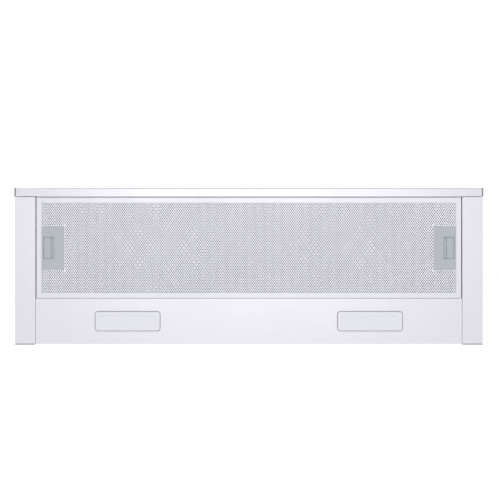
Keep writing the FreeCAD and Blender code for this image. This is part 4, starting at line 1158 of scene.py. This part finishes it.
@dataclass
class Controls(SubAssembly):
    """The button strip in the fascia: its bezel, switch module and five push buttons.

    Attributes:
        corner: Radius of a cap's corners.
        nose: Round of a cap's front edge.
        rim: Width of the flat rim inside that round.
        slope: Width of the slope from the rim down to the dish.
        dish: Depth of the dish.
        cap_round: Round of a cap's other edges.
        bezel_round: Round of the bezel's.
        pip: Radius of a pip.
        pip_pitch: Distance between pips, in pip radii.
        flatness: A pip's height, as a share of its radius.
        ring: Radius of the off mark's ring.
        lamp: Radius of the light mark's ring.
        rays: How many rays stand round it.
        ray_reach: From its middle to a ray.
        ray_share: Size of a ray, as a share of a pip.
        wire: Radius of a ring's wire.
        wire_height: Its height, as a share of its width.
    """

    corner: float = 1.7 * MM
    nose: float = 0.5 * MM
    rim: float = 0.4 * MM
    slope: float = 0.45 * MM
    dish: float = 0.45 * MM
    cap_round: float = 0.12 * MM
    bezel_round: float = 0.6 * MM
    pip: float = 0.55 * MM
    pip_pitch: float = 2.6
    flatness: float = 0.55
    ring: float = 1.5 * MM
    lamp: float = 0.8 * MM
    rays: int = 8
    ray_reach: float = 1.9 * MM
    ray_share: float = 0.5
    wire: float = 0.3 * MM
    wire_height: float = 0.8

    def build(self) -> None:
        """Builds the bezel, the caps and their marks."""
        self.pressed("button_bezel", self.bezel_round)
        self.carry("switch_module")
        for mark in Mark:
            self._cap(mark)
            self._mark(mark)

    def _cap(self, mark: Mark) -> None:
        """Makes one button cap with a dished face.

        Args:
            mark: The button's mark.
        """
        node = f"button_{mark.value}"
        low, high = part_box(node)
        size, centre = high - low, (high + low) / 2
        cap = block(f"cap_{mark.value}", centre, size)
        with edit_mode(cap):
            select_edges(cap, lambda a, b: abs(a.y - b.y) > size.y / 2)
            bpy.ops.mesh.bevel(offset=self.corner, segments=5)
            select_faces(cap, lambda _, normal: normal.y < -FACING)
            bpy.ops.mesh.bevel(offset=self.nose, segments=3)
            select_faces(
                cap, lambda place, normal: normal.y < -FACING and place.y < low.y + TOUCH
            )
            bpy.ops.mesh.inset(thickness=self.rim)
            bpy.ops.mesh.inset(thickness=self.slope, depth=-self.dish)
        round_edges(cap, self.cap_round)
        self.fit(cap, node, self.shop.slots[node], (node,))

    def _mark(self, mark: Mark) -> None:
        """Makes the mark in one cap's dish.

        Args:
            mark: Which mark.
        """
        low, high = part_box(f"button_{mark.value}")
        middle = Vector(((low.x + high.x) / 2, low.y + self.dish, (low.z + high.z) / 2))
        step = self.pip_pitch * self.pip
        parts: list[Object] = []
        if mark is Mark.RING:
            parts.append(self._ring(middle, self.ring))
        elif mark is Mark.RAYS:
            parts.append(self._ring(middle, self.lamp))
            for index in range(self.rays):
                turn = index * math.tau / self.rays
                offset = Vector((math.cos(turn), 0, math.sin(turn))) * self.ray_reach
                parts.append(self._pip(middle + offset, self.ray_share))
        else:
            count = (Mark.ONE, Mark.TWO, Mark.THREE).index(mark) + 1
            for index in range(count):
                offset = Vector(((index - (count - 1) / 2) * step, 0, 0))
                parts.append(self._pip(middle + offset, 1.0))
        piece = join(parts, f"mark_{mark.value}")
        self.fit(piece, f"button_{mark.value}", "bezel_plastic")

    def _pip(self, middle: Vector, share: float) -> Object:
        """Makes a low dome.

        Args:
            middle: Centre of its foot.
            share: Its size as a share of a whole pip.

        Returns:
            The dome, not yet dressed.
        """
        clear_selection()
        bpy.ops.mesh.primitive_uv_sphere_add(
            segments=20, ring_count=12, radius=self.pip * share, location=middle
        )
        dome = take_up("mark_pip")
        with edit_mode(dome):
            bpy.ops.mesh.bisect(
                plane_co=middle, plane_no=(0, 1, 0), clear_outer=True, use_fill=True
            )
            bpy.ops.mesh.select_all(action="SELECT")
            bpy.ops.transform.resize(value=(1, self.flatness, 1), center_override=middle)
        smooth(dome)
        return dome

    def _ring(self, middle: Vector, radius: float) -> Object:
        """Makes a low ring.

        Args:
            middle: Centre of its foot.
            radius: Radius of its middle line.

        Returns:
            The ring, not yet dressed.
        """
        clear_selection()
        bpy.ops.mesh.primitive_torus_add(
            location=middle,
            rotation=(math.pi / 2, 0, 0),
            major_segments=32,
            minor_segments=10,
            major_radius=radius,
            minor_radius=self.wire,
        )
        ring = take_up("mark_ring")
        with edit_mode(ring):
            bpy.ops.transform.resize(value=(1, self.wire_height, 1), center_override=middle)
        smooth(ring)
        return ring


@dataclass
class Blower(SubAssembly):
    """The blower box on the tray, with its scroll, wheel, motor and electrics.

    Attributes:
        sheet_round: Round of the box's folds.
        case_round: Round of the terminal box's edges.
        lid_round: Round of its lid's.
    """

    sheet_round: float = 0.5 * MM
    case_round: float = 0.8 * MM
    lid_round: float = 0.6 * MM

    def build(self) -> None:
        """Rounds the box's folds and dresses what is in it."""
        self.pressed("blower_box", self.sheet_round)
        self.pressed("box_roof", self.sheet_round)
        self.pressed("terminal_box", self.case_round, steps=3)
        self.pressed("terminal_lid", self.lid_round, steps=3)
        for side in SIDES:
            self.carry(f"scroll_{side}")
        self.carry("motor_body", "motor_bracket", "motor_shaft", "fan_wheel")
        self.carry("capacitor", "terminal_block", "cable_gland")


@dataclass
class Outlet(SubAssembly):
    """The round duct collar and its two back-draught flaps.

    Attributes:
        collar_round: Round of the collar's edges.
        flap_round: Round of the flaps'.
    """

    collar_round: float = 0.35 * MM
    flap_round: float = 0.3 * MM

    def build(self) -> None:
        """Rounds the collar's edges and the flaps'."""
        self.pressed("duct_collar", self.collar_round)
        self.pressed("flap_front", self.flap_round)
        self.pressed("flap_rear", self.flap_round)


@dataclass
class Studio:
    """The plain pale room: floor, soft lights, white surround and the camera below the hood.

    Attributes:
        low: The hood's lowest corner.
        high: Its highest corner.
        distance: From the camera up to the hood's underside.
        aside: How far the camera stands to the right of the hood's middle.
        ahead: How far it stands in front of it.
        lens: Focal length in millimetres.
        drop: From the hood down to the floor.
        floor_side: The floor's side.
        key_drop: From the hood down to the main softbox.
        horizon: The surround's brightness level with the hood.
        zenith: Its brightness straight above and below.
        steepness: The slope at which the zenith's brightness begins.
        backdrop: Its brightness where the camera sees it.
    """

    low: Vector
    high: Vector
    distance: float = 2.26
    aside: float = 2.2 * MM
    ahead: float = 31.3 * MM
    lens: float = 85.0
    drop: float = 2.75
    floor_side: float = 14.0
    key_drop: float = 1.9
    horizon: float = 0.40
    zenith: float = 0.96
    steepness: float = 0.7
    backdrop: float = 1.02

    def build(self) -> None:
        """Builds the room."""
        self._camera()
        self._floor()
        self._surround()
        below = self.low.z - self.key_drop
        self._softbox("key_softbox", Vector((0.0, -0.45, below)), size=1.2, power=7.5)
        self._softbox("front_softbox", Vector((-1.4, -2.0, 1.2)), size=1.4, power=8.0)
        self._softbox("top_softbox", Vector((0.8, 0.6, 2.2)), size=1.6, power=7.0)

    def _camera(self) -> None:
        """Places the camera straight below the hood, with the fascia up in its view."""
        middle = (self.low + self.high) / 2
        data = bpy.data.cameras.new("camera_below")
        data.lens = self.lens
        camera = bpy.data.objects.new("camera_below", data)
        camera.location = (
            middle.x + self.aside,
            middle.y - self.ahead,
            self.low.z - self.distance,
        )
        camera.rotation_euler = (math.pi, 0, 0)
        bpy.context.scene.collection.objects.link(camera)
        bpy.context.scene.camera = camera

    def _floor(self) -> None:
        """Lays the pale floor far below the hood."""
        clear_selection()
        place = (0, 0, self.low.z - self.drop)
        bpy.ops.mesh.primitive_plane_add(size=self.floor_side, location=place)
        floor = bpy.context.object
        floor.name = "studio_floor"
        paint = bpy.data.materials.new("floor_paint")
        paint.use_nodes = True
        tree = paint.node_tree
        shader = tree.nodes["Principled BSDF"]
        shader.inputs["Roughness"].default_value = 0.8
        spot = add_node(tree, "TexCoord")
        cloud = add_node(tree, "TexNoise", Scale=1.5)
        light, dark = (0.88, 0.88, 0.89, 1.0), (0.85, 0.85, 0.86, 1.0)
        tone = add_node(tree, "Mix", data_type="RGBA", A=light, B=dark)
        tree.links.new(spot.outputs["Object"], cloud.inputs["Vector"])
        tree.links.new(cloud.outputs["Fac"], tone.inputs["Factor"])
        tree.links.new(tone.outputs["Result"], shader.inputs["Base Color"])
        floor.data.materials.append(paint)
        floor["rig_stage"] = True

    def _surround(self) -> None:
        """Lights the room evenly and leaves it white behind the hood."""
        scene = bpy.context.scene
        scene.view_settings.view_transform = "Standard"
        world = bpy.data.worlds.new("white_room")
        world.use_nodes = True
        scene.world = world
        tree = world.node_tree
        tree.nodes.clear()
        link = tree.links.new
        seen = add_node(
            tree, "Background", Color=(1.0, 1.0, 1.0, 1.0), Strength=self.backdrop
        )
        lit = add_node(tree, "Background", Color=(0.97, 0.975, 1.0, 1.0))
        place = add_node(tree, "TexCoord")
        axes = add_node(tree, "SeparateXYZ")
        steep = add_node(tree, "Math", operation="ABSOLUTE")
        level = add_node(
            tree,
            "MapRange",
            interpolation_type="SMOOTHSTEP",
            From_Max=self.steepness,
            To_Min=self.horizon,
            To_Max=self.zenith,
        )
        link(place.outputs["Generated"], axes.inputs["Vector"])
        link(axes.outputs["Z"], steep.inputs[0])
        link(steep.outputs["Value"], level.inputs["Value"])
        link(level.outputs["Result"], lit.inputs["Strength"])
        path = add_node(tree, "LightPath")
        mix = add_node(tree, "MixShader")
        out = add_node(tree, "OutputWorld")
        link(path.outputs["Is Camera Ray"], mix.inputs["Fac"])
        link(lit.outputs["Background"], mix.inputs[1])
        link(seen.outputs["Background"], mix.inputs[2])
        link(mix.outputs["Shader"], out.inputs["Surface"])

    def _softbox(self, name: str, place: Vector, size: float, power: float) -> None:
        """Hangs one soft light that faces the hood.

        Args:
            name: The light's name.
            place: Where it hangs.
            size: Its side.
            power: Its power in watts.
        """
        data = bpy.data.lights.new(name, "AREA")
        data.size = size
        data.energy = power
        light = bpy.data.objects.new(name, data)
        light.location = place
        aim = (self.low + self.high) / 2 - place
        light.rotation_euler = aim.to_track_quat("-Z", "Y").to_euler()
        bpy.context.scene.collection.objects.link(light)


def main() -> None:
    """Builds the room and the hood."""
    logging.basicConfig(level=logging.INFO, format="%(name)s: %(message)s")
    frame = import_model()
    cad_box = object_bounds()
    low, high = Vector(cad_box[0]), Vector(cad_box[1])
    Studio(low, high).build()
    shop = PaintShop(frame["nodes"])
    for part in (Body, Lamps, GreaseFilter, Latches, Drawer, Controls, Blower, Outlet):
        assembly = part(shop)
        assembly.build()
        LOG.info("%s: %d new pieces", part.__name__, len(assembly.made))


if __name__ == "__main__":
    main()
